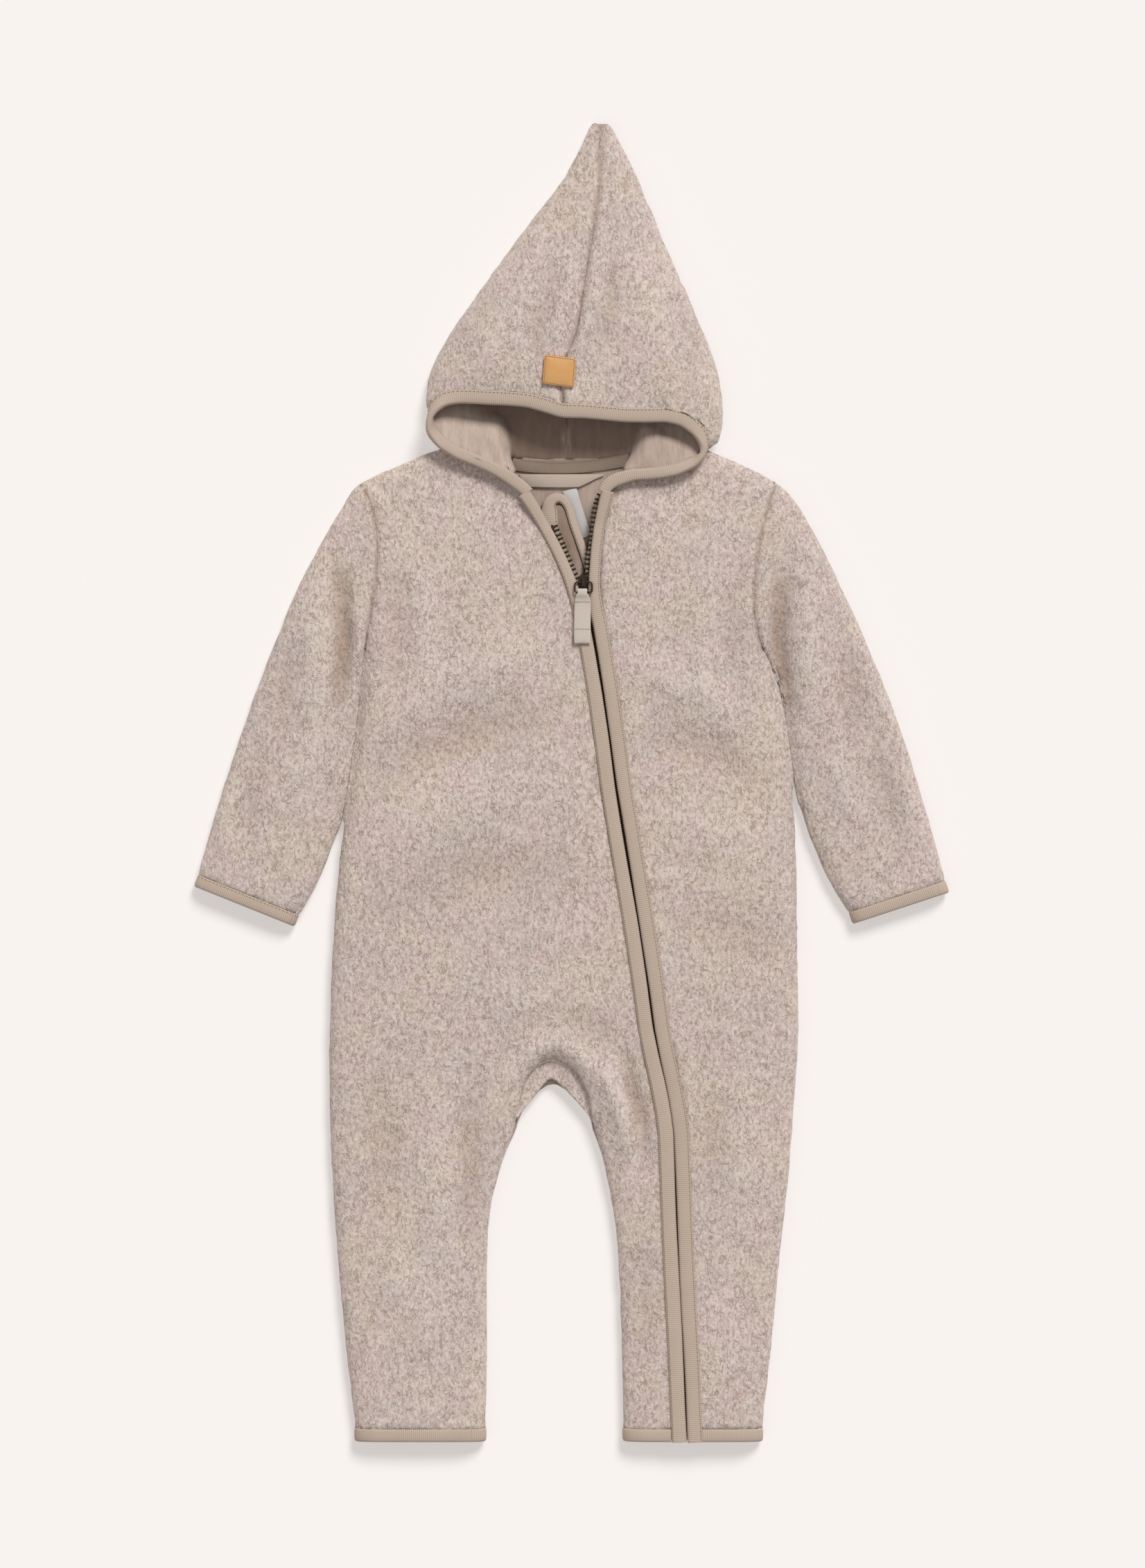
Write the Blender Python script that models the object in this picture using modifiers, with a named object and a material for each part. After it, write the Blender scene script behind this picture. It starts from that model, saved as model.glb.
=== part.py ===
"""Fleece pramsuit for a baby, laid flat on its back with the hood open.

The frame: X runs across the suit, Y up it from the hems to the hood's point, Z up from the table.
The origin is at the middle of the outline, on the table. "Right" and "left" are the wearer's, so
the right side has the negative X. The tables below are in millimetres. Edges are those of the
middle of the cloth, so the outline lies half a wall outside them.
"""
import math

import bmesh
import bpy
import numpy as np

MM = 0.001

# ---- driving sizes, in millimetres -------------------------------------------------------------
WALL = 2.5                 # fleece
HALF = WALL / 2
GAP = 0.3                  # between two pieces that are sewn together
TABLE = HALF               # middle of a layer that lies on the table
SEAM = 5.0                 # height of the side seams
UPPER_RIM = SEAM + GAP / 2
LOWER_RIM = SEAM - GAP / 2
EDGE = 6.2                 # top of the upright strip beside a seam, front
BACK_EDGE = 3.8            # bottom of that strip, back
ROLL = 14.0                # how far in from a seam the front has reached its full height
BACK_ROLL = 4.0
BINDING = 8.0              # width of the folded ribbed binding
BINDING_HALF = 2.2         # half its thickness
HEM_BINDING = 7.5
CUFF_BINDING = 7.0
CUFF_HALF = 1.6
HEM_HALF = 1.8
CROTCH = -174.5            # top of the front's crotch arch
HEM = -410.0               # where the leg's fleece meets its binding
SHOULDER = 190.7
NECK_SIDE = 224.0          # where the shoulder seam meets the neck
NECK_CORNERS = (-45.0, 47.0)
SHOULDER_BOW = (3.2, 4.8)  # how far the shoulder seams bow up between their ends, right and left
BOW_FADE = (1, 1, 0.97, 0.85, 0.6, 0.35, 0.15)
BACK_NECK = 206.4          # top edge of the back between the neck's corners
V_END = 183.0              # where the zip's bindings end and the hood's begins
CLOSED_FROM = 120.0        # the zip is closed below this

# ---- outline of the body: height up the suit, right edge, left edge ----------------------------
BODY = [
    (190.7, -134.5, 129.8), (178, -127.5, 125.0), (165, -124.4, 121.5), (149, -122.6, 118.4),
    (130, -124.2, 115.4), (108, -127.6, 115.2), (94, -129.6, 118.0), (84, -130.6, 121.0),
    (62, -132.6, 129.6), (44, -133.8, 133.6), (20, -137.2, 137.4), (-5, -141.4, 140.2),
    (-50, -147.8, 142.6), (-90, -150.6, 142.4), (-127, -152.8, 143.4), (-171, -153.7, 143.4),
    (-207, -153.6, 140.4), (-248, -151.9, 137.6), (-292, -149.4, 132.6), (-336, -145.4, 128.2),
    (-380, -141.2, 124.4), (-410, -137.0, 120.4),
]
# the legs' inner edges: height, right leg, left leg
LEGS = [
    (-222, -37.6, 15.6), (-240, -44.8, 20.8), (-260, -51.0, 25.2), (-285, -54.4, 29.0),
    (-320, -54.6, 31.2), (-365, -53.8, 32.2), (-410, -55.6, 33.4),
]
FRONT_ARCH = [
    (-174.5, -12.3, -12.3), (-176.2, -18.8, -5.8), (-180, -24.2, 0.6), (-189, -30.4, 7.8),
    (-199, -33.2, 10.8), (-210, -34.2, 12.4),
]
BACK_ARCH = [
    (-187.7, -13.2, -13.2), (-197, -21.2, -2.8), (-206, -27.4, 4.6), (-214, -32.6, 11.6),
]
# the zip's middle line: height, place across
ZIP = [
    (-418, 73.2), (-361, 70.8), (-305, 67.8), (-250, 65.6), (-218, 64.2), (-199, 61.2),
    (-160, 52.8), (-115, 46.6), (-59, 37.4), (-9, 29.0), (40, 22.4), (83, 15.6), (110, 10.6),
    (128.7, 7.5),
]
# the open top of the zip: middle of each binding, and of each row of teeth
BINDING_V_RIGHT = [(110, 5.6), (121.2, 2.2), (133.5, -2.4), (147.6, -8.8), (160.8, -15.6),
                   (170, -20.6), (179.7, -26.2), (183.2, -28.9)]
BINDING_V_LEFT = [(110, 15.8), (121.2, 14.9), (133.5, 14.9), (147.6, 15.8), (160.8, 17.4),
                  (170, 18.8), (179.7, 20.6), (183.9, 21.6)]
TEETH_V_RIGHT = [(120, 8.1), (130.5, 4.2), (147.6, -2.9), (166.0, -10.4)]
TEETH_V_LEFT = [(120, 10.2), (131.8, 9.6), (159, 13.4), (182.0, 17.2)]
# one side of the zip, from the fronts' middle surface down: its row of teeth and its tape
CHAIN_HALF = 1.0
CHAIN_TOP, CHAIN_FOOT = -2.5, -5.0
TAPE_TOP, TAPE_FOOT = -3.3, -4.2
TAPE_REACH = 8.5
# the underlap behind the zip: height, middle, half its width
UNDERLAP = [(177, -9.2, 3.8), (172, -8.6, 5.0), (165, -7.6, 6.2), (157, -6.2, 7.2),
            (146, -3.4, 8.2), (137, -0.6, 8.2), (128, 2.4, 8.4), (110, 8.0, 8.8),
            (83, 14.6, 8.8)]
UNDERLAP_DROP = 7.8        # below the fronts' middle surface
UNDERLAP_LOW = 5.1         # its lowest, over the back
# height of the front's middle surface along the body
LOFT = [(225, 10.0), (200, 10.2), (180, 11.4), (150, 13.0), (100, 14.4), (0, 14.8),
        (-120, 14.8), (-174, 14.4), (-250, 13.4), (-350, 13.0), (-410, 12.6)]
# rows across a front: height at the armhole or side, height at the neck or zip
FRONT_ROWS = [
    (190.7, 224.0), (189.2, 222.4), (185.6, 218.6), (178, 209.0), (165, 196.0), (149, 183.0),
    (130, 165.0), (108, 146.0), (94, 130.0), (87.5, 121.0), (84, 112.0), (62, 84.0), (44, 58.0),
    (20, 28.0), (-5, -2.0), (-50, -50), (-90, -90), (-127, -127), (-155, -155),
]
UNDERARM_ROW = 10
UNDERARM_SHIFT = 0.78      # share of the way from the underarm's corner to the row above it
BACK_SIDE_ROWS = [62, 44, 20, -5, -50, -90, -127, -171]
# neck edge of the fronts, above the V: height, right, left
NECK_EDGE = [(183.0, -33.4, 27.2), (189.4, -34.0, 29.4), (198.7, -38.6, 34.6),
             (209.2, -43.0, 40.6), (219, -44.2, 45.4), (224, -45.0, 47.0)]
# sleeves: outer and inner edges from the armhole to the cuff's seam, and height of the top layer
SLEEVE_RIGHT_OUTER = [(-148.4, 169.2), (-162.4, 147.2), (-182.2, 103.2), (-199.8, 59.2),
                      (-214.7, 15.2), (-228.4, -28.8), (-236.8, -58.6)]
SLEEVE_RIGHT_INNER = [(-134.6, 76), (-136.2, 66), (-137.4, 44), (-140.8, 20), (-145.0, -5), (-149.6, -30),
                      (-154.6, -46), (-161.6, -62), (-174.6, -83.6)]
SLEEVE_LEFT_OUTER = [(141.3, 180), (153.6, 158.2), (170.0, 125.2), (180.5, 103.2),
                     (199.4, 59.2), (214.8, 15.2), (227.2, -28.6), (236.6, -62.4)]
SLEEVE_LEFT_INNER = [(128.4, 76), (133.0, 66), (137.2, 44), (141.0, 20), (144.0, -5), (148.6, -26),
                     (154.4, -41), (163.4, -60), (177.0, -82.0)]
SLEEVE_STEPS = (0.06, 0.14, 0.26, 0.42, 0.60, 0.80, 0.93, 1.0)
SLEEVE_LOFT = [(0.0, 11.5), (0.3, 12.0), (0.7, 11.0), (1.0, 10.0)]
SLEEVE_ROLL = 12.0
# the hood's outline: height, right edge, left edge
HOOD = [
    (417, 15.6, 23.0), (408, 11.2, 29.4), (400, 7.4, 34.4), (388, -0.4, 39.2),
    (370, -15.4, 47.2), (345, -35.2, 57.6), (318, -53.4, 69.0), (292, -73.6, 81.2),
    (275, -84.6, 88.6), (262, -90.0, 93.2), (246, -92.4, 95.8), (232, -91.6, 95.6),
    (218, -90.0, 94.0), (208, -88.0, 90.6),
]
HOOD_FRONT_SEAM = [(239, -5.7), (249.7, -6.6), (259.8, -7.5), (273, -4.0), (281.8, 2.2),
                   (291.9, 5.3), (302, 6.6), (313.5, 6.2), (325.4, 8.8), (345.6, 12.8),
                   (361, 15.4), (380.8, 18.0), (402.8, 19.3), (419, 19.5)]
HOOD_BACK_SEAM = [(200, -2.4), (262, -3.0), (320, 4.0), (370, 13.0), (419, 19.5)]
HOOD_TOP = [(237, 25.5), (262, 25.0), (300, 22.5), (345, 18.0), (388, 13.0), (408, 9.5),
            (417, 6.6)]
HOOD_ROWS = [417, 408, 396, 380, 360, 335, 308, 284, 262]
HOOD_COLUMNS = (0.0, 0.13, 0.26, 0.39, 0.52, 0.64, 0.75, 0.85, 0.93, 1.0)
# rows between those and the lip: share of the way, heights of the fold's top and bottom
CORNER_ROWS = [(0.38, 8.6, 5.4), (0.72, 11.4, 9.0), (0.94, 12.8, 12.0)]
CORNER_CREASE_RIGHT = [(252, 1.3), (243, 1.4), (237.6, 2.0)]
CORNER_CREASE_LEFT = [(251, 1.3), (240, 1.7), (233.4, 5.6)]
# middle of the hood's binding from the front seam round the corner to the V: place across,
# height up the suit, height above the table, and the turn of its free edge, which points into
# the opening at 0, straight up at 90 and away from the opening at 180
LIP_RIGHT = [
    (-5.7, 234.7, 25.5, 0), (-13.2, 236.9, 25.0, 0), (-20.2, 239.6, 24.4, 0),
    (-32.1, 242.2, 23.2, 0), (-46.6, 242.9, 21.8, 0), (-63.8, 244.0, 20.4, 0),
    (-74.8, 244.0, 19.4, 8), (-84.0, 240.9, 18.8, 35), (-90.2, 232.6, 18.6, 90),
    (-90.0, 223.7, 18.6, 130), (-84.0, 214.5, 18.6, 160), (-72.6, 207.5, 18.4, 172),
    (-59.0, 202.2, 18.0, 180), (-47.1, 196.5, 17.6, 180), (-34.5, 188.6, 17.0, 180),
    (-28.9, 183.2, 16.2, 180),
]
LIP_LEFT = [
    (-5.7, 234.7, 25.5, 0), (8.8, 234.5, 25.4, 0), (23.8, 233.0, 24.8, 0),
    (40.9, 231.7, 23.6, 0), (57.2, 232.5, 22.0, 0), (66.0, 231.7, 20.8, 0),
    (74.8, 227.3, 19.6, 4), (81.4, 219.3, 18.4, 25), (84.0, 209.7, 18.0, 90),
    (77.9, 202.2, 18.0, 150), (66.0, 196.9, 17.9, 172), (51.0, 194.7, 17.6, 180),
    (36.5, 193.8, 17.3, 180), (27.7, 191.4, 17.0, 180), (23.4, 187.9, 16.7, 180),
    (21.6, 183.9, 16.2, 180),
]
CORNER = 8                 # the row of those tables where the binding stands upright
# rows of a cheek, from the corner to the V: share of the lower lip, crease x, y, z, height of
# the foot of the neck wall, and where the row ends on the back seam
CHEEK_RIGHT = [
    (0.0, -43.4, 236.0, 2.4, 1.3, 234.0), (0.12, -43.2, 230.0, 8.0, 3.4, 228.0),
    (0.25, -42.8, 224.2, 15.0, 4.2, 221.0), (0.40, -42.0, 217.5, 15.8, 4.2, 214.0),
    (0.55, -40.8, 209.4, 16.0, 4.2, 206.7), (0.68, -38.4, 203.0, 16.2, 9.6, None),
    (0.79, -35.8, 198.0, 16.2, 9.6, None),
]
CHEEK_LEFT = [
    (0.0, 45.2, 231.0, 7.4, 3.2, 234.0), (0.14, 44.8, 225.0, 15.0, 4.2, 228.0),
    (0.30, 43.2, 217.5, 15.8, 4.2, 214.0), (0.45, 39.4, 210.0, 16.0, 4.2, 206.7),
    (0.58, 35.4, 203.4, 16.2, 9.6, None), (0.70, 32.4, 199.6, 16.2, 9.6, None),
]
# slider: its middle across, its plate (height up the suit, half its width), its bridge
SLIDER_X = 7.4
SLIDER_PLATE = [(124.2, 1.8), (125.4, 2.3), (128.6, 2.9), (131.6, 2.6), (132.6, 1.8)]
BRIDGE = (124.9, 130.7)
BRIDGE_TOP = 4.9
# the link's upper bar is the hinge
HINGE_Y = 127.6
HINGE_RISE = 3.1
LINK_Y = 121.0
LINK_X = (1.9, 12.9)
LINK_DROP = 1.9
WIRE = 0.6
WIRE_BORE = 0.95
TAB = 2.0
# the tab: height up the suit, half its width, middle across, thickness
TAB_ROWS = [(123.6, 3.0, 6.6, 2.0), (122.8, 3.3, 6.6, 3.2), (121.0, 3.5, 6.6, 3.6),
            (119.2, 4.0, 6.7, 3.2), (117.6, 4.8, 6.8, 2.4), (114.0, 5.3, 6.8, 2.0),
            (105.0, 5.3, 6.7, 2.0), (96.0, 5.3, 6.6, 2.0), (88.4, 5.2, 6.6, 2.0)]
# inside the neck
TAPE = 1.0
SATIN_THICK = 0.6
NECK_TAPE = [(-34.0, 203.4), (-28.0, 202.4), (-14.0, 201.2), (1.0, 201.3), (16.0, 203.0),
             (32.5, 206.2)]
HANGER = [(-33.4, 196.8, 195.6), (-30.5, 196.8, 192.0), (-26.0, 196.8, 188.7),
          (-16.0, 196.8, 188.5), (-6.0, 196.8, 188.4), (4.4, 196.8, 188.6),
          (9.6, 196.8, 191.0), (15.2, 196.8, 193.8), (20.2, 196.8, 195.8)]
CARE_LABEL = [(-1.4, 187.2), (1.2, 178.0), (5.0, 166.0), (8.6, 156.6)]
PATCH = [(-17.2, 271.3), (2.6, 268.6), (1.3, 250.1), (-18.5, 252.8)]
LEATHER_THICK = 1.5
PATCH_CLEARANCE = 0.5      # under its middle, over the hood's curve
# where the hood's binding meets the zip's: place, and the way the strip runs there
V_JOINTS = {-1: ((-28.9, 183.2, 16.2), (0.67, -0.74, 0.0)),
            1: ((21.6, 183.9, 16.2), (-0.30, -0.95, 0.0))}
# looks: linear colour, roughness and, on metal, how metallic
FLEECE = ((0.60, 0.51, 0.44), 0.95)
RIB = ((0.51, 0.42, 0.32), 0.9)
LEATHER = ((0.72, 0.37, 0.12), 0.6)
CHAIN = ((0.06, 0.045, 0.035), 0.5, 0.6)
BRONZE = ((0.06, 0.045, 0.035), 0.35, 0.9)
TWILL = ((0.62, 0.55, 0.47), 0.9)
SATIN = ((0.78, 0.78, 0.80), 0.4)

parts = bpy.data.collections.new("pramsuit")
cutters = bpy.data.collections.new("cutters")


def clear_scene():
    for item in list(bpy.data.objects):
        bpy.data.objects.remove(item, do_unlink=True)
    for group in (parts, cutters):
        bpy.context.scene.collection.children.link(group)


def make_material(name, colour, roughness, metallic=0.0):
    material = bpy.data.materials.new(name)
    material.use_nodes = True
    shader = material.node_tree.nodes["Principled BSDF"]
    shader.inputs["Base Color"].default_value = (*colour, 1)
    shader.inputs["Roughness"].default_value = roughness
    shader.inputs["Metallic"].default_value = metallic
    return material


def place(name, mesh, look, group=parts):
    item = bpy.data.objects.new(name, mesh)
    mesh.materials.append(make_material(name + "_look", *look))
    mesh.shade_smooth()
    group.objects.link(item)
    return item


# ---- curves ------------------------------------------------------------------------------------
def along(table, column=1):
    """A smooth function of the table's first column, through every row."""
    rows = sorted(table, key=lambda row: row[0])
    x = np.array([row[0] for row in rows], float)
    y = np.array([row[column] for row in rows], float)
    slope = np.gradient(y, x)

    def value(at):
        at = min(max(at, x[0]), x[-1])
        i = int(min(max(np.searchsorted(x, at) - 1, 0), len(x) - 2))
        h = x[i + 1] - x[i]
        t = (at - x[i]) / h
        return float(y[i] * (1 + 2 * t) * (1 - t) ** 2 + y[i + 1] * t * t * (3 - 2 * t)
                     + slope[i] * h * t * (1 - t) ** 2 - slope[i + 1] * h * t * t * (1 - t))
    return value


def tracer(points):
    """A smooth curve through the points, as a function of the share of its length."""
    knots = np.array(points, float)
    steps = np.linalg.norm(np.diff(knots[:, :3], axis=0), axis=1)
    length_at = np.concatenate([[0], np.cumsum(steps)])
    length_at = length_at / length_at[-1]
    axes = [along(list(zip(length_at, knots[:, k]))) for k in range(knots.shape[1])]
    return lambda share: np.array([axis(share) for axis in axes])


def smooth(t):
    t = min(max(t, 0.0), 1.0)
    return t * t * (3 - 2 * t)


def mix(a, b, t):
    return a + (b - a) * t


def arch(distance, reach):
    """Quarter of an ellipse: 0 at an edge, 1 once the distance passes the reach."""
    return math.sqrt(1 - (1 - min(max(distance / reach, 0.0), 1.0)) ** 2)


right_side = along(BODY, 1)
left_side = along(BODY, 2)
zip_line = along(ZIP)
loft = along(LOFT)


def binding_line(side, y):
    """Middle of the zip's binding, place across (side -1 is the wearer's right)."""
    if y <= 110:
        return zip_line(y) + side * 5.1
    return along(BINDING_V_RIGHT if side < 0 else BINDING_V_LEFT)(y)


def teeth_line(side, y):
    if y <= CLOSED_FROM:
        return zip_line(y) + side * 1.2
    return along(TEETH_V_RIGHT if side < 0 else TEETH_V_LEFT)(y)


def panel_edge(side, y):
    """Edge of a front beside its zip binding, and along the neck above it."""
    if y > V_END:
        return along(NECK_EDGE, 1 if side < 0 else 2)(y)
    slope = (binding_line(side, y + 1) - binding_line(side, y - 1)) / 2
    reach = (BINDING / 2 + 1.5 * GAP) * math.sqrt(1 + slope * slope)
    return binding_line(side, y) + side * reach


# ---- heights -----------------------------------------------------------------------------------
def bow(i, side, share):
    """How far row i bows up at a share of the way along the shoulder."""
    if i >= len(BOW_FADE):
        return 0.0
    share = min(max(share, 0.0), 1.0)
    return BOW_FADE[i] * SHOULDER_BOW[side > 0] * 4 * share * (1 - share)


def outline_strips(arch_rows):
    side_heights = list(range(84, int(HEM), -12)) + [HEM]
    legs = arch_rows + LEGS
    ends = ((right_side(SHOULDER), NECK_CORNERS[0]), (left_side(SHOULDER), NECK_CORNERS[1]))
    shoulders = []
    for side, (start, end) in zip((-1, 1), ends):
        shares = (0, 0.25, 0.5, 0.75, 1)
        shoulders.append([(mix(start, end, t), mix(SHOULDER, NECK_SIDE, t) + bow(0, side, t))
                          for t in shares])
    return [
        *shoulders,
        [(right_side(y), y) for y in side_heights],
        [(left_side(y), y) for y in side_heights],
        [(row[1], row[0]) for row in legs],
        [(row[2], row[0]) for row in legs],
    ]


def edge_distance(x, y, strips):
    """Distance from the shoulder, side and leg seams."""
    best = 1e9
    for strip in strips:
        for (ax, ay), (bx, by) in zip(strip, strip[1:]):
            dx, dy = bx - ax, by - ay
            t = ((x - ax) * dx + (y - ay) * dy) / (dx * dx + dy * dy)
            t = min(max(t, 0.0), 1.0)
            best = min(best, math.hypot(x - ax - dx * t, y - ay - dy * t))
    return best


FRONT_STRIPS = outline_strips(FRONT_ARCH)
BACK_STRIPS = outline_strips(BACK_ARCH)


def arch_lift(y):
    """How much higher the front's leg edge lies where the gusset is under it."""
    return 4.2 * (1 - smooth((-y - 208) / 14))


def front_height(x, y):
    d = edge_distance(x, y, FRONT_STRIPS)
    crown = 2.0 * smooth((d - ROLL) / 70)
    edge = EDGE
    if y <= CROTCH and -60 < x < 40:
        edge += arch_lift(y)
    return edge + (loft(y) - edge) * arch(d, ROLL) + crown


def back_height(x, y):
    d = edge_distance(x, y, BACK_STRIPS)
    return TABLE + (BACK_EDGE - TABLE) * (1 - arch(d, BACK_ROLL))


# ---- mesh builders -----------------------------------------------------------------------------
def to_object(name, mesh, look):
    bmesh.ops.recalc_face_normals(mesh, faces=mesh.faces)
    data = bpy.data.meshes.new(name)
    mesh.to_mesh(data)
    mesh.free()
    return place(name, data, look)


def cloth(name, grid, look, wall=WALL):
    """A wall on a grid of points. The keys are (row, column), and a face stands wherever four
    neighbours do."""
    mesh = bmesh.new()
    verts = {key: mesh.verts.new([c * MM for c in point]) for key, point in grid.items()}
    for row, column in grid:
        keys = [(row, column), (row, column + 1), (row + 1, column + 1), (row + 1, column)]
        if all(key in verts for key in keys):
            mesh.faces.new([verts[key] for key in keys])
    bmesh.ops.remove_doubles(mesh, verts=mesh.verts, dist=0.00001)
    loose = [vert for vert in mesh.verts if not vert.link_faces]
    bmesh.ops.delete(mesh, geom=loose, context="VERTS")
    bmesh.ops.triangulate(mesh, faces=mesh.faces)
    item = to_object(name, mesh, look)
    shell = item.modifiers.new("wall", "SOLIDIFY")
    shell.thickness = wall * MM
    shell.offset = 0
    return item


def through_rings(name, rings, look, closed=False):
    """A closed solid through like sections, with flat ends unless the path is closed."""
    mesh = bmesh.new()
    loops = [[mesh.verts.new([c * MM for c in point]) for point in ring] for ring in rings]
    pairs = list(zip(loops, loops[1:]))
    if closed:
        pairs.append((loops[-1], loops[0]))
    count = len(loops[0])
    for one, two in pairs:
        for k in range(count):
            after = (k + 1) % count
            mesh.faces.new([one[k], one[after], two[after], two[k]])
    if not closed:
        mesh.faces.new(loops[0][::-1])
        mesh.faces.new(loops[-1])
    bmesh.ops.triangulate(mesh, faces=mesh.faces)
    return to_object(name, mesh, look)


def unit(vector):
    return vector / np.linalg.norm(vector)


def strip_rings(centres, section, acrosses=None, closed=False, ends=(None, None)):
    """Rings of a strip: the section's (across, up) points carried along the centres. Across is
    level and to the right of the way ahead unless it is given, and so may be the way ahead at
    either end."""
    rings = []
    last = len(centres) - 1
    for i, centre in enumerate(centres):
        if closed:
            ahead = unit(centres[(i + 1) % len(centres)] - centres[i - 1])
        else:
            ahead = unit(centres[min(i + 1, last)] - centres[max(i - 1, 0)])
            given = {0: ends[0], last: ends[1]}.get(i)
            if given is not None:
                ahead = unit(np.array(given))
        if acrosses is None:
            across = unit(np.cross(ahead, (0, 0, 1)))
        else:
            across = unit(acrosses[i] - ahead * np.dot(acrosses[i], ahead))
        up = np.cross(across, ahead)
        rings.append([centre + across * a + up * b for a, b in section])
    return rings


def band_section(width, half_thick):
    """Section of a folded band, its long edges rounded off."""
    w, t, r = width / 2, half_thick, half_thick / 2
    return [(-w, -r), (r - w, -t), (w - r, -t), (w, -r), (w, r), (w - r, t), (r - w, t), (-w, r)]


# ---- body panels -------------------------------------------------------------------------------
def spread(start, end, distances, shares, distances_end):
    """Points from start to end: at distances from each end, and at shares of what is between."""
    start, end = np.array(start, float), np.array(end, float)
    length = np.linalg.norm(end - start)
    inner = length - distances[-1] - distances_end[-1]
    places = list(distances)
    places += [distances[-1] + inner * share for share in shares]
    places += [length - d for d in reversed(distances_end)]
    return [tuple(start + (end - start) * (p / length)) for p in places]


def front_row_ends(side):
    outer = right_side if side < 0 else left_side
    pairs = FRONT_ROWS + [(row[0], row[0]) for row in FRONT_ARCH + LEGS]
    return [((outer(y_out), y_out), (panel_edge(side, y_in), y_in)) for y_out, y_in in pairs]


SIDE_STEPS = (0.0, 1.6, 5.2, 12.0)
LEG_STEPS = (0.0, 1.6, 6.0)


def bowed(points, i, side, first, last):
    return [(x, y + bow(i, side, (x - first) / (last - first))) for x, y in points]


def finish_front(grid, keys, i, leg_keys=()):
    """Adds the upright strips at the shoulder, the side and the leg's inner edge."""
    if i >= UNDERARM_ROW:
        x, y, _ = grid[(i, keys[0])]
        grid[(i, keys[0])] = (x, y, EDGE)
        grid[(i, keys[0] - 1)] = (x, y, UPPER_RIM)
    if i == 0:
        for key in keys:
            x, y, _ = grid[(0, key)]
            grid[(0, key)] = (x, y, EDGE)
            grid[(-1, key)] = (x, y, UPPER_RIM)
    for key, beyond in leg_keys:
        x, y, _ = grid[(i, key)]
        grid[(i, key)] = (x, y, EDGE + arch_lift(y))
        grid[(i, beyond)] = (x, y, UPPER_RIM + arch_lift(y))


def armhole(grid, edge, inside):
    """Edge points down the armhole, each with the point inside it. The last pair is moved up
    from the underarm's corner so that the sleeve's fold clears the side seam."""
    rows = range(UNDERARM_ROW + 1)
    pairs = [(np.array(grid[(i, edge)]), np.array(grid[(i, inside)])) for i in rows]
    above, corner = pairs[-2:]
    pairs[-1] = tuple(mix(c, a, UNDERARM_SHIFT) for c, a in zip(corner, above))
    return pairs


def make_front_left():
    grid = {}
    for i, (outer, inner) in enumerate(front_row_ends(1)):
        points = spread(outer, inner, SIDE_STEPS, (0.5,), (0.0, 2.0))
        for j, (x, y) in enumerate(bowed(points, i, 1, outer[0], inner[0])):
            grid[(i, j)] = (x, y, front_height(x, y))
        finish_front(grid, list(range(len(points))), i)
    cloth("front_left", grid, FLEECE)
    return armhole(grid, 0, 1)


def make_front_right():
    """One grid for the trunk and both legs. The first columns run from the side to the middle or
    the right leg's inner edge, those from 20 on go on to the zip."""
    grid = {}
    crotch_row = len(FRONT_ROWS)
    legs = FRONT_ARCH + LEGS
    for i, (outer, inner) in enumerate(front_row_ends(-1)):
        if i < crotch_row:
            middle = (mix(outer[0], inner[0], 0.70), mix(outer[1], inner[1], 0.70))
            ends = (middle, middle)
        else:
            leg = legs[i - crotch_row]
            ends = ((leg[1], leg[0]), (leg[2], leg[0]))
        points = spread(outer, ends[0], SIDE_STEPS, (0.5,), LEG_STEPS)
        keys = list(range(len(points)))
        points += spread(ends[1], inner, LEG_STEPS, (), (0.0, 2.0))
        keys += [20 + k for k in range(len(points) - len(keys))]
        for key, (x, y) in zip(keys, bowed(points, i, -1, outer[0], inner[0])):
            grid[(i, key)] = (x, y, front_height(x, y))
        last = max(key for key in keys if key < 20)
        finish_front(grid, keys, i, ((last, last + 1), (20, 19)) if i >= crotch_row else ())
    cloth("front_right", grid, FLEECE)
    return armhole(grid, 0, 1)


BACK_STEPS = (0.0, 0.9, 3.6)
LEFT_KEY = 40              # the left half's columns count down from here


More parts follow.
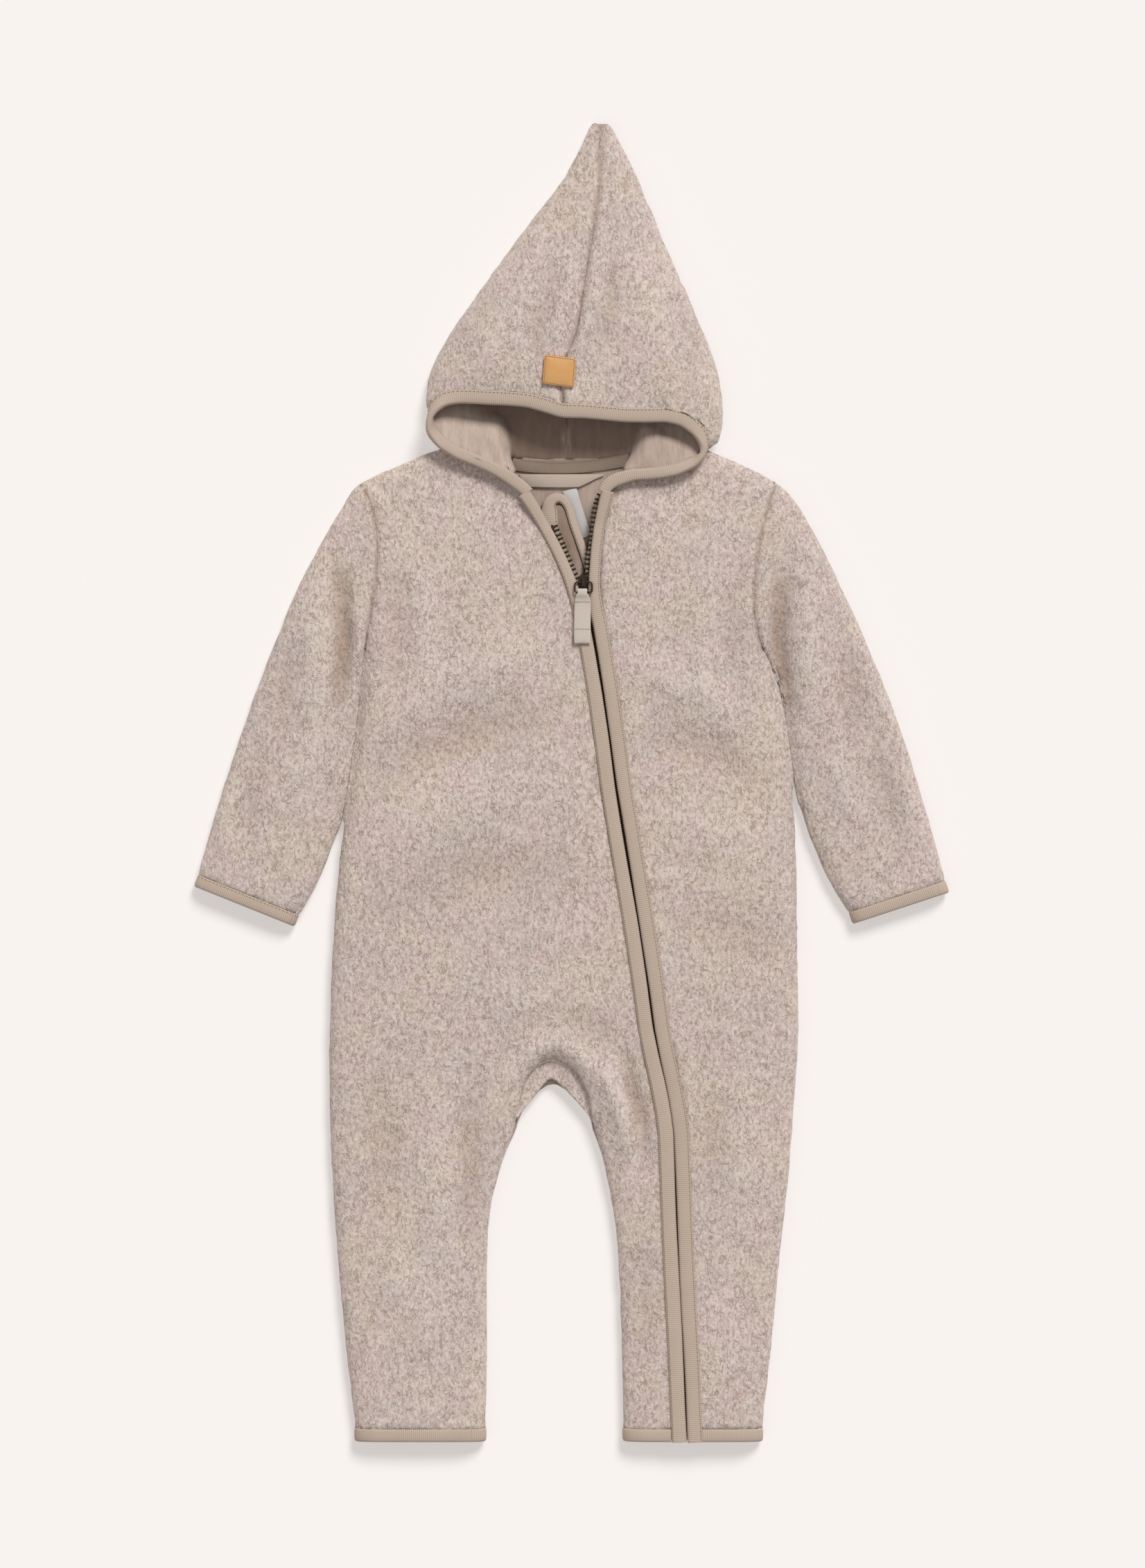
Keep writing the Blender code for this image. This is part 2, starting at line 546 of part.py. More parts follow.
def make_back():
    """Two runs of columns, from each side to the middle or the leg's inner edge."""
    grid = {}
    heights = [row[0] for row in FRONT_ROWS[:UNDERARM_ROW + 1]] + BACK_SIDE_ROWS
    crotch_row = len(heights)
    legs = BACK_ARCH + LEGS
    heights += [row[0] for row in legs]
    for i, y in enumerate(heights):
        way = smooth(i / (crotch_row - 1))
        for k, outer_x in ((0, right_side(y)), (1, left_side(y))):
            sign = -1 if k == 0 else 1
            if i < crotch_row:
                middle = mix(1.0, -13.2, way)
                corner = mix(NECK_CORNERS[k], middle + sign * 3.6, way)
                places = [outer_x - sign * d for d in BACK_STEPS]
                places += [mix(places[-1], corner, 0.5), corner,
                           mix(NECK_CORNERS[k] - sign * 0.8, middle + sign * 0.9, way), middle]
            else:
                inner_x = legs[i - crotch_row][1 + k]
                places = [p[0] for p in spread((outer_x, y), (inner_x, y), BACK_STEPS, (0.5,),
                                               BACK_STEPS)]
            keys = list(range(len(places)))
            if k == 1:
                keys = [LEFT_KEY - key for key in keys]
            outward = -1 if k == 0 else 1
            for key, x in zip(keys, places):
                y_here = y + shoulder_rise(i, x, k)
                z = back_height(x, y_here)
                if i == 0 and not NECK_CORNERS[0] < x < NECK_CORNERS[1]:
                    z = BACK_EDGE
                    grid[(-1, key)] = (x, y_here, LOWER_RIM)
                grid[(i, key)] = (x, y_here, z)
            if i >= UNDERARM_ROW:
                grid[(i, keys[0])] = (places[0], y, BACK_EDGE)
                grid[(i, keys[0] + outward)] = (places[0], y, LOWER_RIM)
            if i >= crotch_row:
                grid[(i, keys[-1])] = (places[-1], y, BACK_EDGE)
                grid[(i, keys[-1] - outward)] = (places[-1], y, LOWER_RIM)
    cloth("back_panel", grid, FLEECE)
    return armhole(grid, 0, 1), armhole(grid, LEFT_KEY, LEFT_KEY - 1)


def shoulder_rise(i, x, k):
    """Carries the top rows up the slanting shoulder seams, and to the back neck between them."""
    share = (1, 1, 1, 0.95, 0.6, 0.3)[i] if i < 6 else 0
    end = right_side(SHOULDER) if k == 0 else left_side(SHOULDER)
    corner = NECK_CORNERS[k]
    if abs(x) < abs(corner) - 0.01:
        return share * (BACK_NECK - SHOULDER)
    way = (end - x) / (end - corner)
    return share * (NECK_SIDE - SHOULDER) * way + bow(i, corner, way)


def make_gusset():
    """The strip under the front's crotch arch, down to the back's."""
    upper = tracer([(-33.6, -207), (-33.2, -199), (-30.4, -189), (-24.2, -180), (-18.8, -176.2),
                    (-12.3, -174.5), (-5.8, -176.2), (0.6, -180), (7.8, -189), (10.8, -199),
                    (11.8, -207)])
    lower = tracer([(-28.2, -207), (-24.4, -201.6), (-21.2, -197), (-17.4, -192.2),
                    (-13.2, -187.7), (-8.0, -192.2), (-2.8, -197), (1.0, -201.6), (5.4, -207)])
    grid = {}
    for i, share in enumerate(np.linspace(0, 1, 15)):
        a, b = upper(share), lower(share)
        rim = UPPER_RIM + arch_lift(a[1]) - GAP
        heights = [(0, rim), (0, rim - 1.3), (0.3, 7.0), (0.72, 7.0), (1, 6.6), (1, UPPER_RIM)]
        for j, (across, z) in enumerate(heights):
            x, y = a + (b - a) * across
            grid[(i, j)] = (x, y, z)
    cloth("crotch_gusset", grid, FLEECE)


# ---- sleeves and cuffs -------------------------------------------------------------------------
def make_sleeve(name, front, back, outer_path, inner_path):
    """A flat tube. Its first two rows carry the body's surfaces straight on past the seam."""
    def carry(pairs, distance):
        return [edge + unit(edge - inside) * (distance + 1.9 * smooth((k - 7) / 3))
                for k, (edge, inside) in enumerate(pairs)]

    rows = []
    for distance in (GAP, GAP + 2.0):
        top, under = carry(front, distance), carry(back, distance)
        rows.append(top + [(top[-1] + under[-1]) / 2] + under[::-1] + [(top[0] + under[0]) / 2])
    start = rows[1]
    count = len(front)
    steps = [np.linalg.norm(start[k + 1][:2] - start[k][:2]) for k in range(count - 1)]
    shares = np.concatenate([[0], np.cumsum(steps)]) / sum(steps)
    around = list(shares) + [1.0] + list(shares[::-1]) + [0.0]
    outer = tracer([tuple(start[0][:2])] + outer_path)
    inner = tracer([tuple(start[count - 1][:2])] + inner_path)
    height = along(SLEEVE_LOFT)
    for v in SLEEVE_STEPS:
        o, n = outer(v), inner(v)
        width = np.linalg.norm(n - o)
        row = []
        for k, share in enumerate(around):
            straight = start[0][:2] + (start[count - 1][:2] - start[0][:2]) * share
            bow = (start[k][:2] - straight) * (1 - smooth(v / 0.45))
            x, y = o + (n - o) * share + bow
            d = min(share, 1 - share) * width
            if k < count:
                z = EDGE + (height(v) - EDGE) * arch(d, SLEEVE_ROLL)
            elif count < k < 2 * count + 1:
                z = TABLE + (BACK_EDGE - TABLE) * (1 - arch(d, BACK_ROLL))
            else:
                z = SEAM
            row.append(np.array((x, y, mix(start[k][2], z, smooth(v / 0.15)))))
        rows.append(row)
    grid = {}
    for i, row in enumerate(rows):
        for k, point in enumerate(row + row[:1]):
            grid[(i, k)] = tuple(point)
    cloth(name, grid, FLEECE)
    return rows[-2], rows[-1]


def make_cuff(name, before, last):
    axis = unit(sum(b - a for a, b in zip(before, last)))
    centres = [point + axis * (GAP + CUFF_BINDING / 2) for point in last]
    for centre in centres:
        centre[2] = max(centre[2], CUFF_HALF)
    section = [(b, a) for a, b in band_section(CUFF_BINDING, CUFF_HALF)]
    rings = strip_rings(centres, section, closed=True,
                        acrosses=[ring_normal(centres, i, axis) for i in range(len(centres))])
    through_rings(name, rings, RIB, closed=True)


def ring_normal(centres, i, axis):
    ahead = centres[(i + 1) % len(centres)] - centres[i - 1]
    return unit(np.cross(ahead, axis))


def make_hem(name, points, closed):
    centres = [np.array((x, HEM - GAP - HEM_BINDING / 2, max(z, HEM_HALF))) for x, z in points]
    section = [(b, a) for a, b in band_section(HEM_BINDING, HEM_HALF)]
    last = len(centres) - 1
    acrosses = []
    for i in range(len(centres)):
        before = centres[i - 1] if closed else centres[max(i - 1, 0)]
        after = centres[(i + 1) % len(centres)] if closed else centres[min(i + 1, last)]
        acrosses.append(unit(np.cross(after - before, (0, 1, 0))))
    through_rings(name, strip_rings(centres, section, acrosses, closed), RIB, closed)


def hem_points(start, end, count, height):
    near = [0.0, 1.6, 5.2, 12.0]
    length = abs(end - start)
    places = near + [12 + (length - 24) * k / (count + 1) for k in range(1, count + 1)]
    places += [length - d for d in reversed(near)]
    sign = 1 if end > start else -1
    return [(start + sign * p, height(start + sign * p, HEM)) for p in places]


def make_hems():
    right_out, right_in = right_side(HEM), LEGS[-1][1]
    ring = [(right_out, SEAM)] + hem_points(right_out, right_in, 2, front_height)
    ring += [(right_in, SEAM)] + hem_points(right_in, right_out, 2, back_height)
    make_hem("hem_binding_right", ring, True)
    left_out, left_in = left_side(HEM), LEGS[-1][2]
    path = []
    for d in (GAP, 8.0, 16.0):
        x = panel_edge(1, HEM) + d
        path.append((x, front_height(x, HEM)))
    path += [(left_out - d, front_height(left_out - d, HEM)) for d in (12.0, 5.2, 1.6, 0.0)]
    path += [(left_out, SEAM)] + hem_points(left_out, left_in, 2, back_height)
    path += [(left_in, SEAM)]
    path += [(left_in + d, front_height(left_in + d, HEM)) for d in (0.0, 1.6, 5.2, 12.0)]
    x = panel_edge(-1, HEM) - GAP
    path.append((x, front_height(x, HEM)))
    make_hem("hem_binding_left", path, False)


# ---- hood --------------------------------------------------------------------------------------
def lip_frames(side):
    """Centre of the hood's binding and the way to its free edge, at every row of the table and
    at the places where a cheek's rows meet it."""
    table = LIP_RIGHT if side < 0 else LIP_LEFT
    cheek = CHEEK_RIGHT if side < 0 else CHEEK_LEFT
    upper = tracer(table[:CORNER + 1])
    lower = tracer(table[CORNER:])
    frames = []
    for curve, shares in ((upper, HOOD_COLUMNS), (lower, [row[0] for row in cheek[1:]])):
        for share in shares:
            frames.append(frame_at(curve, share, side))
    ends = [frame_at(lower, share, side) for share in (0.86, 0.93, 1.0)]
    return frames[:len(HOOD_COLUMNS)], frames[len(HOOD_COLUMNS):], ends


def frame_at(curve, share, side):
    x, y, z, turn = curve(share)
    ahead = curve(min(share + 0.02, 1.0)) - curve(max(share - 0.02, 0.0))
    level = unit(np.array((ahead[1], -ahead[0])) * side)
    if abs(x - LIP_LEFT[0][0]) < 0.01:
        level = np.array((0.0, -1.0))
    angle = math.radians(min(max(turn, 0), 180))
    across = np.array((level[0] * math.cos(angle), level[1] * math.cos(angle), math.sin(angle)))
    return np.array((x, y, z)), across


def hood_edge(frame, back=0.0):
    """Edge of the hood's cloth along its binding, or a point further back in the cloth. Where
    the binding stands upright the edge is a little further off."""
    centre, across = frame
    return centre - across * (BINDING / 2 + GAP + 0.1 + 1.7 * across[2] + back)


def make_hood_half(name, side):
    grid = {}
    edge_of = along(HOOD, 1 if side < 0 else 2)
    front_seam, back_seam, top = along(HOOD_FRONT_SEAM), along(HOOD_BACK_SEAM), along(HOOD_TOP)
    upper, lower, _ = lip_frames(side)
    last_f = len(HOOD_COLUMNS) - 1
    cheek = CHEEK_RIGHT if side < 0 else CHEEK_LEFT
    corner_y = hood_edge(upper[-1])[1]

    def top_point(y, share):
        seam = front_seam(y) + side * GAP / 2
        x = mix(seam, edge_of(y), share)
        half = abs(edge_of(y) - seam)
        reach = min(45.0, 0.85 * half)
        base = min(EDGE, top(y) - 0.3)
        return np.array((x, y, base + (top(y) - base) * arch(abs(edge_of(y) - x), reach)))

    def under_row(i, rim, crease, foot, back_y, inside):
        """Keys 10 to 18: the outer edge, three on the way, the crease, its foot, and the back.
        The lip's rows are given the point just inside their rim."""
        rim, crease = np.array(rim), np.array(crease)
        closed = inside is None
        grid[(i, last_f + 1)] = tuple(rim)
        width = abs(crease[0] - rim[0])
        for k, d in enumerate((min(1.2, 0.1 * width), min(4.5, 0.3 * width), 0.55 * width)):
            point = rim + (crease - rim) * (d / width)
            if k == 0 and not closed:
                grid[(i, last_f + 2)] = tuple(inside)
                continue
            if closed:
                reach = BACK_ROLL + 1.5 * max(rim[2] - BACK_EDGE, 0)
                point[2] = TABLE + (rim[2] - TABLE) * (1 - arch(d, reach))
                point[2] = max(point[2], mix(rim[2], crease[2], d / width))
            grid[(i, last_f + 2 + k)] = tuple(point)
        grid[(i, last_f + 5)] = tuple(crease)
        if back_y is None:
            grid[(i, last_f + 6)] = (crease[0], crease[1], foot)
            return
        lean = 1.2 if closed else 1.2 * (1 - smooth((crease[2] - 2) / 10))
        inward = -side
        grid[(i, last_f + 6)] = (crease[0] + inward * lean, crease[1], foot)
        seam = back_seam(back_y) + side * GAP / 2
        floor = TABLE + 1.9 * smooth((crease[1] - 404) / 13)
        start = crease[0] + inward * min(3.6, 0.3 * abs(seam - crease[0]))
        if not closed:
            start = crease[0] + inward * 3.6
        for k, share in enumerate((0.0, 0.5, 1.0)):
            y = mix(crease[1], back_y, min(1.0, share * 3 + 0.2))
            grid[(i, last_f + 7 + k)] = (mix(start, seam, share), y, floor)

    row = 0
    for y in HOOD_ROWS:
        for j, share in enumerate(HOOD_COLUMNS):
            grid[(row, j)] = tuple(top_point(y, share))
        x_out = edge_of(y)
        seam = back_seam(y) + side * GAP / 2
        floor = TABLE + 1.9 * smooth((y - 404) / 13)
        low = mix(BACK_EDGE, 3.15, smooth((y - 396) / 20))
        crease_x = x_out + (seam - x_out) * 0.5
        under_row(row, (x_out, y, low), (crease_x, y, floor), floor, y, None)
        row += 1
    lip = [hood_edge(frame) for frame in upper]
    lip[0][0] += side * GAP / 2
    crease_rows = CORNER_CREASE_RIGHT if side < 0 else CORNER_CREASE_LEFT
    for (w, rim_top, rim_low), (crease_y, crease_z) in zip(CORNER_ROWS, crease_rows):
        y_out = mix(HOOD_ROWS[-1], corner_y, w)
        edge_point = np.array((edge_of(y_out), y_out, rim_top))
        straight = mix(top_point(HOOD_ROWS[-1], 1.0), lip[-1], w)
        for j, share in enumerate(HOOD_COLUMNS):
            point = mix(top_point(HOOD_ROWS[-1], share), lip[j], w)
            if w > 0.9 and j < last_f:
                point = lip[j] + hood_edge(upper[j], 1.5) - hood_edge(upper[j])
            grid[(row, j)] = tuple(point + (edge_point - straight) * share ** 4)
        crease_x = mix(cheek[0][1], cheek[0][1] + side * 3.0, 1 - w)
        under_row(row, (edge_point[0], y_out, rim_low), (crease_x, crease_y, crease_z),
                  TABLE, mix(HOOD_ROWS[-1], cheek[0][5], w), None)
        row += 1
    for j in range(last_f + 1):
        grid[(row, j)] = tuple(lip[j])
    corner = lip[-1]
    crease = np.array(cheek[0][1:4])
    under_row(row, corner, crease, cheek[0][4], cheek[0][5], mix(corner, crease, 0.04))
    row += 1
    for (_, x, y, z, foot, back_y), frame in zip(cheek[1:], lower):
        under_row(row, hood_edge(frame), (x, y, z), foot, back_y, hood_edge(frame, 1.4))
        row += 1
    cloth(name, grid, FLEECE)


def make_hood_binding():
    frames = []
    for side in (-1, 1):
        upper, lower, ends = lip_frames(side)
        half = upper[1:] + lower + ends
        if side < 0:
            frames = half[::-1] + upper[:1]
        else:
            frames += half
    centres = [frame[0] for frame in frames]
    acrosses = [frame[1] for frame in frames]
    ways = [np.array(V_JOINTS[side][1]) for side in (-1, 1)]
    centres[0] = centres[0] - ways[0] * GAP / 2
    centres[-1] = centres[-1] - ways[1] * GAP / 2
    rings = strip_rings(centres, band_section(BINDING, BINDING_HALF), acrosses,
                        ends=(-ways[0], ways[1]))
    through_rings("hood_binding", rings, RIB)


# ---- the zip and what lies behind it -----------------------------------------------------------
ZIP_STATIONS = sorted({row[1] for row in FRONT_ROWS if row[1] < V_END - 15}
                      | {row[0] for row in FRONT_ARCH + LEGS}, reverse=True)


def zip_height(y):
    """Height of the fronts' middle surface beside the zip."""
    return front_height(panel_edge(-1, y), y)


def v_rise(y):
    return 3.4 * smooth((y - 160) / 22)


def zip_strip(name, line, stations, section, look, joint=None):
    """A strip that follows the zip. One with a joint rises to meet the hood's binding there."""
    centres = []
    for y in stations:
        z = zip_height(y) + (v_rise(y) if joint else 0)
        centres.append(np.array((line(y), y, z)))
    way = None
    if joint:
        place_at, way = (np.array(value) for value in joint)
        centres[0] = place_at + way * GAP / 2
    through_rings(name, strip_rings(centres, section, ends=(way, None)), look)


def make_zip():
    foot = HEM - GAP - HEM_BINDING
    for side, word in ((-1, "right"), (1, "left")):
        top = [V_END, 178.0, 172.0] + ZIP_STATIONS + [foot]
        zip_strip("zip_binding_" + word, lambda y: binding_line(side, y), top,
                  band_section(BINDING, BINDING_HALF), RIB, V_JOINTS[side])
        start = 166.0 if side < 0 else 181.0
        tape = [start] + [y for y in ZIP_STATIONS if y < start - 3] + [foot + 1]
        # the strip is swept downwards, so its right-hand side is the wearer's right
        teeth = [(-CHAIN_HALF, CHAIN_FOOT), (CHAIN_HALF, CHAIN_FOOT), (CHAIN_HALF, TAPE_FOOT),
                 (TAPE_REACH, TAPE_FOOT), (TAPE_REACH, TAPE_TOP), (CHAIN_HALF, TAPE_TOP),
                 (CHAIN_HALF, CHAIN_TOP), (-CHAIN_HALF, CHAIN_TOP)]
        if side > 0:
            teeth = [(-a, b) for a, b in teeth]
        zip_strip("zip_" + word, lambda y: teeth_line(side, y), tape, teeth, CHAIN)


def underlap_height(y):
    return max(zip_height(y) - UNDERLAP_DROP, UNDERLAP_LOW)


def make_underlap():
    middle, half = along(UNDERLAP, 1), along(UNDERLAP, 2)
    stations = [177, 172, 165, 157, 146, 137, 128] + [y for y in ZIP_STATIONS if y <= 112]
    grid = {}
    for i, y in enumerate(stations):
        centre = middle(y) if y > 83 else zip_line(y) - 1.0
        width = half(y)
        for j, share in enumerate((-1, 0, 1)):
            grid[(i, j)] = (centre + share * width, y, underlap_height(y))
    cloth("underlap", grid, FLEECE)
    path = tracer([(-16.2, 168.5), (-16.6, 176), (-13.6, 181.4), (-9.0, 182.8), (-4.4, 180.4),
                   (-1.2, 175), (0.6, 168), (4.4, 157), (8.2, 146), (11.2, 137)])
    centres = []
    for share in np.linspace(0, 1, 17):
        x, y = path(share)
        centres.append(np.array((x, y, underlap_height(y))))
    through_rings("underlap_binding", strip_rings(centres, band_section(4.6, 1.5)), RIB)


# ---- slider and pull tab ------------------------------------------------------------------------
def block(name, x, y, z):
    """A box between the two limits on each axis, kept with the cutters."""
    mesh = bmesh.new()
    bmesh.ops.create_cube(mesh, size=MM)
    for vert in mesh.verts:
        vert.co = [mix(low, high, c / MM + 0.5) * MM for c, (low, high) in zip(vert.co, (x, y, z))]
    item = to_object(name, mesh, BRONZE)
    hide_cutter(item)
    return item


def boolean(item, other, operation):
    step = item.modifiers.new(operation.lower(), "BOOLEAN")
    step.operation = operation
    step.object = other
    step.solver = "EXACT"


def tapered_plate(name, outline, z):
    mesh = bmesh.new()
    rings = []
    for height in z:
        rings.append([mesh.verts.new((x * MM, y * MM, height * MM)) for x, y in outline])
    mesh.faces.new(rings[0][::-1])
    mesh.faces.new(rings[1])
    count = len(outline)
    for k in range(count):
        after = (k + 1) % count
        mesh.faces.new([rings[0][k], rings[0][after], rings[1][after], rings[1][k]])
    return to_object(name, mesh, BRONZE)


def make_slider():
    x, base = SLIDER_X, zip_height(HINGE_Y)
    outline = []
    for sign in (-1, 1):
        side = [(x + sign * half, y) for y, half in SLIDER_PLATE]
        outline += side if sign > 0 else side[::-1]
    slider = tapered_plate("zip_slider", outline, (base - 2.2, base - 1.0))
    low = tapered_plate("slider_back", outline, (base - 6.2, base - 5.3))
    hide_cutter(low)
    wedge = block("slider_wedge", (x - 0.8, x + 0.8), (129.6, 132.2), (base - 5.8, base - 1.6))
    bridge = block("slider_bridge", (x - 0.9, x + 0.9), (BRIDGE[0], BRIDGE[1]),
                   (base - 1.6, base + BRIDGE_TOP))
    hole = block("slider_hole", (x - 2, x + 2), (BRIDGE[0] + 1.1, BRIDGE[1] - 1.1),
                 (base - 0.4, base + BRIDGE_TOP - 1.0))
    boolean(bridge, hole, "DIFFERENCE")
    for other in (low, wedge, bridge):
        boolean(slider, other, "UNION")


def hide_cutter(item):
    parts.objects.unlink(item)
    cutters.objects.link(item)
    item.hide_render = True
    item.display_type = "WIRE"


def move_origin(item, origin):
    """Puts the object's origin on a point in millimetres, its mesh staying where it is."""
    shift = [c * MM for c in origin]
    for vert in item.data.vertices:
        vert.co = [c - s for c, s in zip(vert.co, shift)]
    item.location = shift


def make_puller():
    """The wire link in the slider's bridge, and the folded tape that hangs on it. Both turn
    about the link's upper bar."""
    hinge_z = zip_height(HINGE_Y) + HINGE_RISE
    hinge = (SLIDER_X, HINGE_Y, hinge_z)
    x0, x1 = LINK_X
    low = hinge_z + LINK_DROP
    corners = []
    for x, y, z in ((x0, HINGE_Y, hinge_z), (x1, HINGE_Y, hinge_z), (x1, LINK_Y, low),
                    (x0, LINK_Y, low)):
        corners.append(np.array((x, y, z)))
    centres = []
    for k, corner in enumerate(corners):
        before, after = corners[k - 1], corners[(k + 1) % 4]
        into, out = unit(before - corner), unit(after - corner)
        centres += [corner + into * 1.5, corner + (into + out) * 0.44, corner + out * 1.5]
    plane = unit(np.cross(corners[1] - corners[0], corners[3] - corners[0]))
    acrosses = [ring_normal(centres, i, plane) for i in range(len(centres))]
    section = [(WIRE * math.cos(t), WIRE * math.sin(t))
               for t in np.linspace(0, 2 * math.pi, 8, endpoint=False)]
    rings = strip_rings(centres, section, acrosses, closed=True)
    link = through_rings("puller_ring", rings, BRONZE, closed=True)
    move_origin(link, hinge)

    rings = []
    for y, half, centre_x, thick in TAB_ROWS:
        over = zip_height(y) + BINDING_HALF + 0.35
        z = over + TAB / 2
        if y > LINK_Y - 5:
            z = mix(z, max(low, over + thick / 2), smooth((y - LINK_Y + 5) / 3.5))
        t, r = thick / 2, thick / 5
        rings.append([(centre_x + a, y, z + b) for a, b in
                      ((-half, -r), (r - half, -t), (half - r, -t), (half, -r),
                       (half, r), (half - r, t), (r - half, t), (-half, r))])
    tab = through_rings("pull_tab", rings, TWILL)
    bore = [np.array((x, LINK_Y, low)) for x in (x0 - 2, x1 + 2)]
    section = [(WIRE_BORE * math.cos(t), WIRE_BORE * math.sin(t))
               for t in np.linspace(0, 2 * math.pi, 10, endpoint=False)]
    channel = through_rings("tab_channel", strip_rings(bore, section), TWILL)
    hide_cutter(channel)
    boolean(tab, channel, "DIFFERENCE")
    move_origin(tab, hinge)


# ---- inside the neck ---------------------------------------------------------------------------
def make_neck_pieces():
    flat = 2 * TABLE + GAP
    tape = tracer([(x, y, flat + TAPE / 2) for x, y in NECK_TAPE])
    centres = [tape(share) for share in np.linspace(0, 1, 13)]
    through_rings("neck_tape", strip_rings(centres, flat_section(7.6, TAPE)), RIB)

    rings = []
    for x, top, bottom in HANGER:
        rise = 0.7 * smooth((x + 33) / 14) * smooth((20 - x) / 14)
        rings.append([(x, bottom, flat + rise), (x, top, flat + rise),
                      (x, top, flat + rise + TAPE), (x, bottom, flat + rise + TAPE)])
    through_rings("hanger_loop", rings, RIB)

    label = tracer([(x, y, flat + SATIN_THICK / 2) for x, y in CARE_LABEL])
    centres = [label(share) for share in np.linspace(0, 1, 5)]
    through_rings("care_label", strip_rings(centres, flat_section(9.2, SATIN_THICK)),
                  SATIN)


def flat_section(width, thick):
    w, t = width / 2, thick / 2
    return [(-w, -t), (w, -t), (w, t), (-w, t)]


def make_patch():
    top = along(HOOD_TOP)
    (ax, ay), (bx, by), (cx, cy), (dx, dy) = PATCH
    grid = {}
    for i in range(4):
        for j in range(4):
            u, v = j / 3, i / 3
            x = mix(mix(ax, bx, u), mix(dx, cx, u), v)
            y = mix(mix(ay, by, u), mix(dy, cy, u), v)
            grid[(i, j)] = (x, y, top(y) + HALF + PATCH_CLEARANCE + LEATHER_THICK / 2)
    cloth("hood_patch", grid, LEATHER, LEATHER_THICK)


clear_scene()
front_left_hole = make_front_left()
front_right_hole = make_front_right()
back_right_hole, back_left_hole = make_back()
make_gusset()
cuff = make_sleeve("sleeve_right", front_right_hole, back_right_hole, SLEEVE_RIGHT_OUTER,
                   SLEEVE_RIGHT_INNER)
make_cuff("cuff_binding_right", *cuff)
cuff = make_sleeve("sleeve_left", front_left_hole, back_left_hole, SLEEVE_LEFT_OUTER,
                   SLEEVE_LEFT_INNER)
make_cuff("cuff_binding_left", *cuff)
make_hems()
make_hood_half("hood_right", -1)
make_hood_half("hood_left", 1)
make_hood_binding()
make_zip()
make_underlap()
make_slider()
make_puller()
make_neck_pieces()
make_patch()
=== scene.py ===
"""Baby's fleece pramsuit, laid flat on its back and photographed from straight above.

Sizes are in millimetres and are scaled to metres where a mesh is made. X runs across the suit,
Y from the hems to the hood's point, Z up. Right and left are the wearer's.
"""
import math

import bmesh
import bpy
import numpy as np
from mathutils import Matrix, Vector, noise
from mathutils.bvhtree import BVHTree
from mathutils.kdtree import KDTree


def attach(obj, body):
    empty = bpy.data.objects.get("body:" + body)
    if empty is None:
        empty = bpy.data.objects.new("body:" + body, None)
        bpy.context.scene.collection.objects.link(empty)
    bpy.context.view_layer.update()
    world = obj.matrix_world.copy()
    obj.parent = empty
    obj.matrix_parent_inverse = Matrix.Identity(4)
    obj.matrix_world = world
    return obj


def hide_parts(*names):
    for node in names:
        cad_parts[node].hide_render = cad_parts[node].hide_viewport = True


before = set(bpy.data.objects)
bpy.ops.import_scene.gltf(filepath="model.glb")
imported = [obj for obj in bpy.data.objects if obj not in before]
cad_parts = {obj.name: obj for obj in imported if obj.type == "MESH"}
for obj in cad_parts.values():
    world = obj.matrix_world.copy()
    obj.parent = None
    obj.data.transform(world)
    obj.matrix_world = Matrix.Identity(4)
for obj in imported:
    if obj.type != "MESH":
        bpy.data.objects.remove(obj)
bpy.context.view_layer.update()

# ---- Camera, light and table -------------------------------------------------------------------
# The suit lies on a seamless off-white table, lit a little from below. The camera hangs straight
# above it, far enough away to see no sides, and a large soft light stands above the hood, a
# little to the right.
MM = 0.001
PIXEL = 0.44                                   # millimetres of table to a pixel of the photograph
PHOTO_HEIGHT = 2262
CAMERA_HEIGHT = 3600.0
SUIT_MIDDLE = 12.0                             # height that is in scale
SENSOR = 24.0

camera_data = bpy.data.cameras.new("camera")
camera_data.sensor_fit = "VERTICAL"
camera_data.sensor_height = SENSOR
camera_data.lens = SENSOR * (CAMERA_HEIGHT - SUIT_MIDDLE) / (PHOTO_HEIGHT * PIXEL)
camera_data.clip_end = 20
camera = bpy.data.objects.new("camera", camera_data)
camera.location = (0.44 * MM, -0.22 * MM, CAMERA_HEIGHT * MM)
bpy.context.scene.collection.objects.link(camera)
bpy.context.scene.camera = camera


def make_material(name, colour, roughness, metallic=0.0, sheen=0.0):
    """A Principled material. Returns it with its nodes, its links and its shader."""
    material = bpy.data.materials.new(name)
    material.use_nodes = True
    tree = material.node_tree
    shader = tree.nodes["Principled BSDF"]
    shader.inputs["Base Color"].default_value = (*colour, 1)
    shader.inputs["Roughness"].default_value = roughness
    shader.inputs["Metallic"].default_value = metallic
    shader.inputs["Sheen Weight"].default_value = sheen
    return material, tree.nodes, tree.links, shader


def link_object(name, mesh, material=None):
    item = bpy.data.objects.new(name, mesh)
    bpy.context.scene.collection.objects.link(item)
    if material is not None:
        mesh.materials.append(material)
    return item


def baked_mesh(mesh, name):
    """Writes a bmesh out as a mesh and frees it."""
    data = bpy.data.meshes.new(name)
    mesh.to_mesh(data)
    mesh.free()
    return data


def tint_between(nodes, links, shader, factor, one, two):
    """Runs the base colour from one colour to the other by a socket."""
    tint = nodes.new("ShaderNodeMixRGB")
    tint.inputs["Color1"].default_value = (*one, 1)
    tint.inputs["Color2"].default_value = (*two, 1)
    links.new(factor, tint.inputs["Fac"])
    links.new(tint.outputs["Color"], shader.inputs["Base Color"])


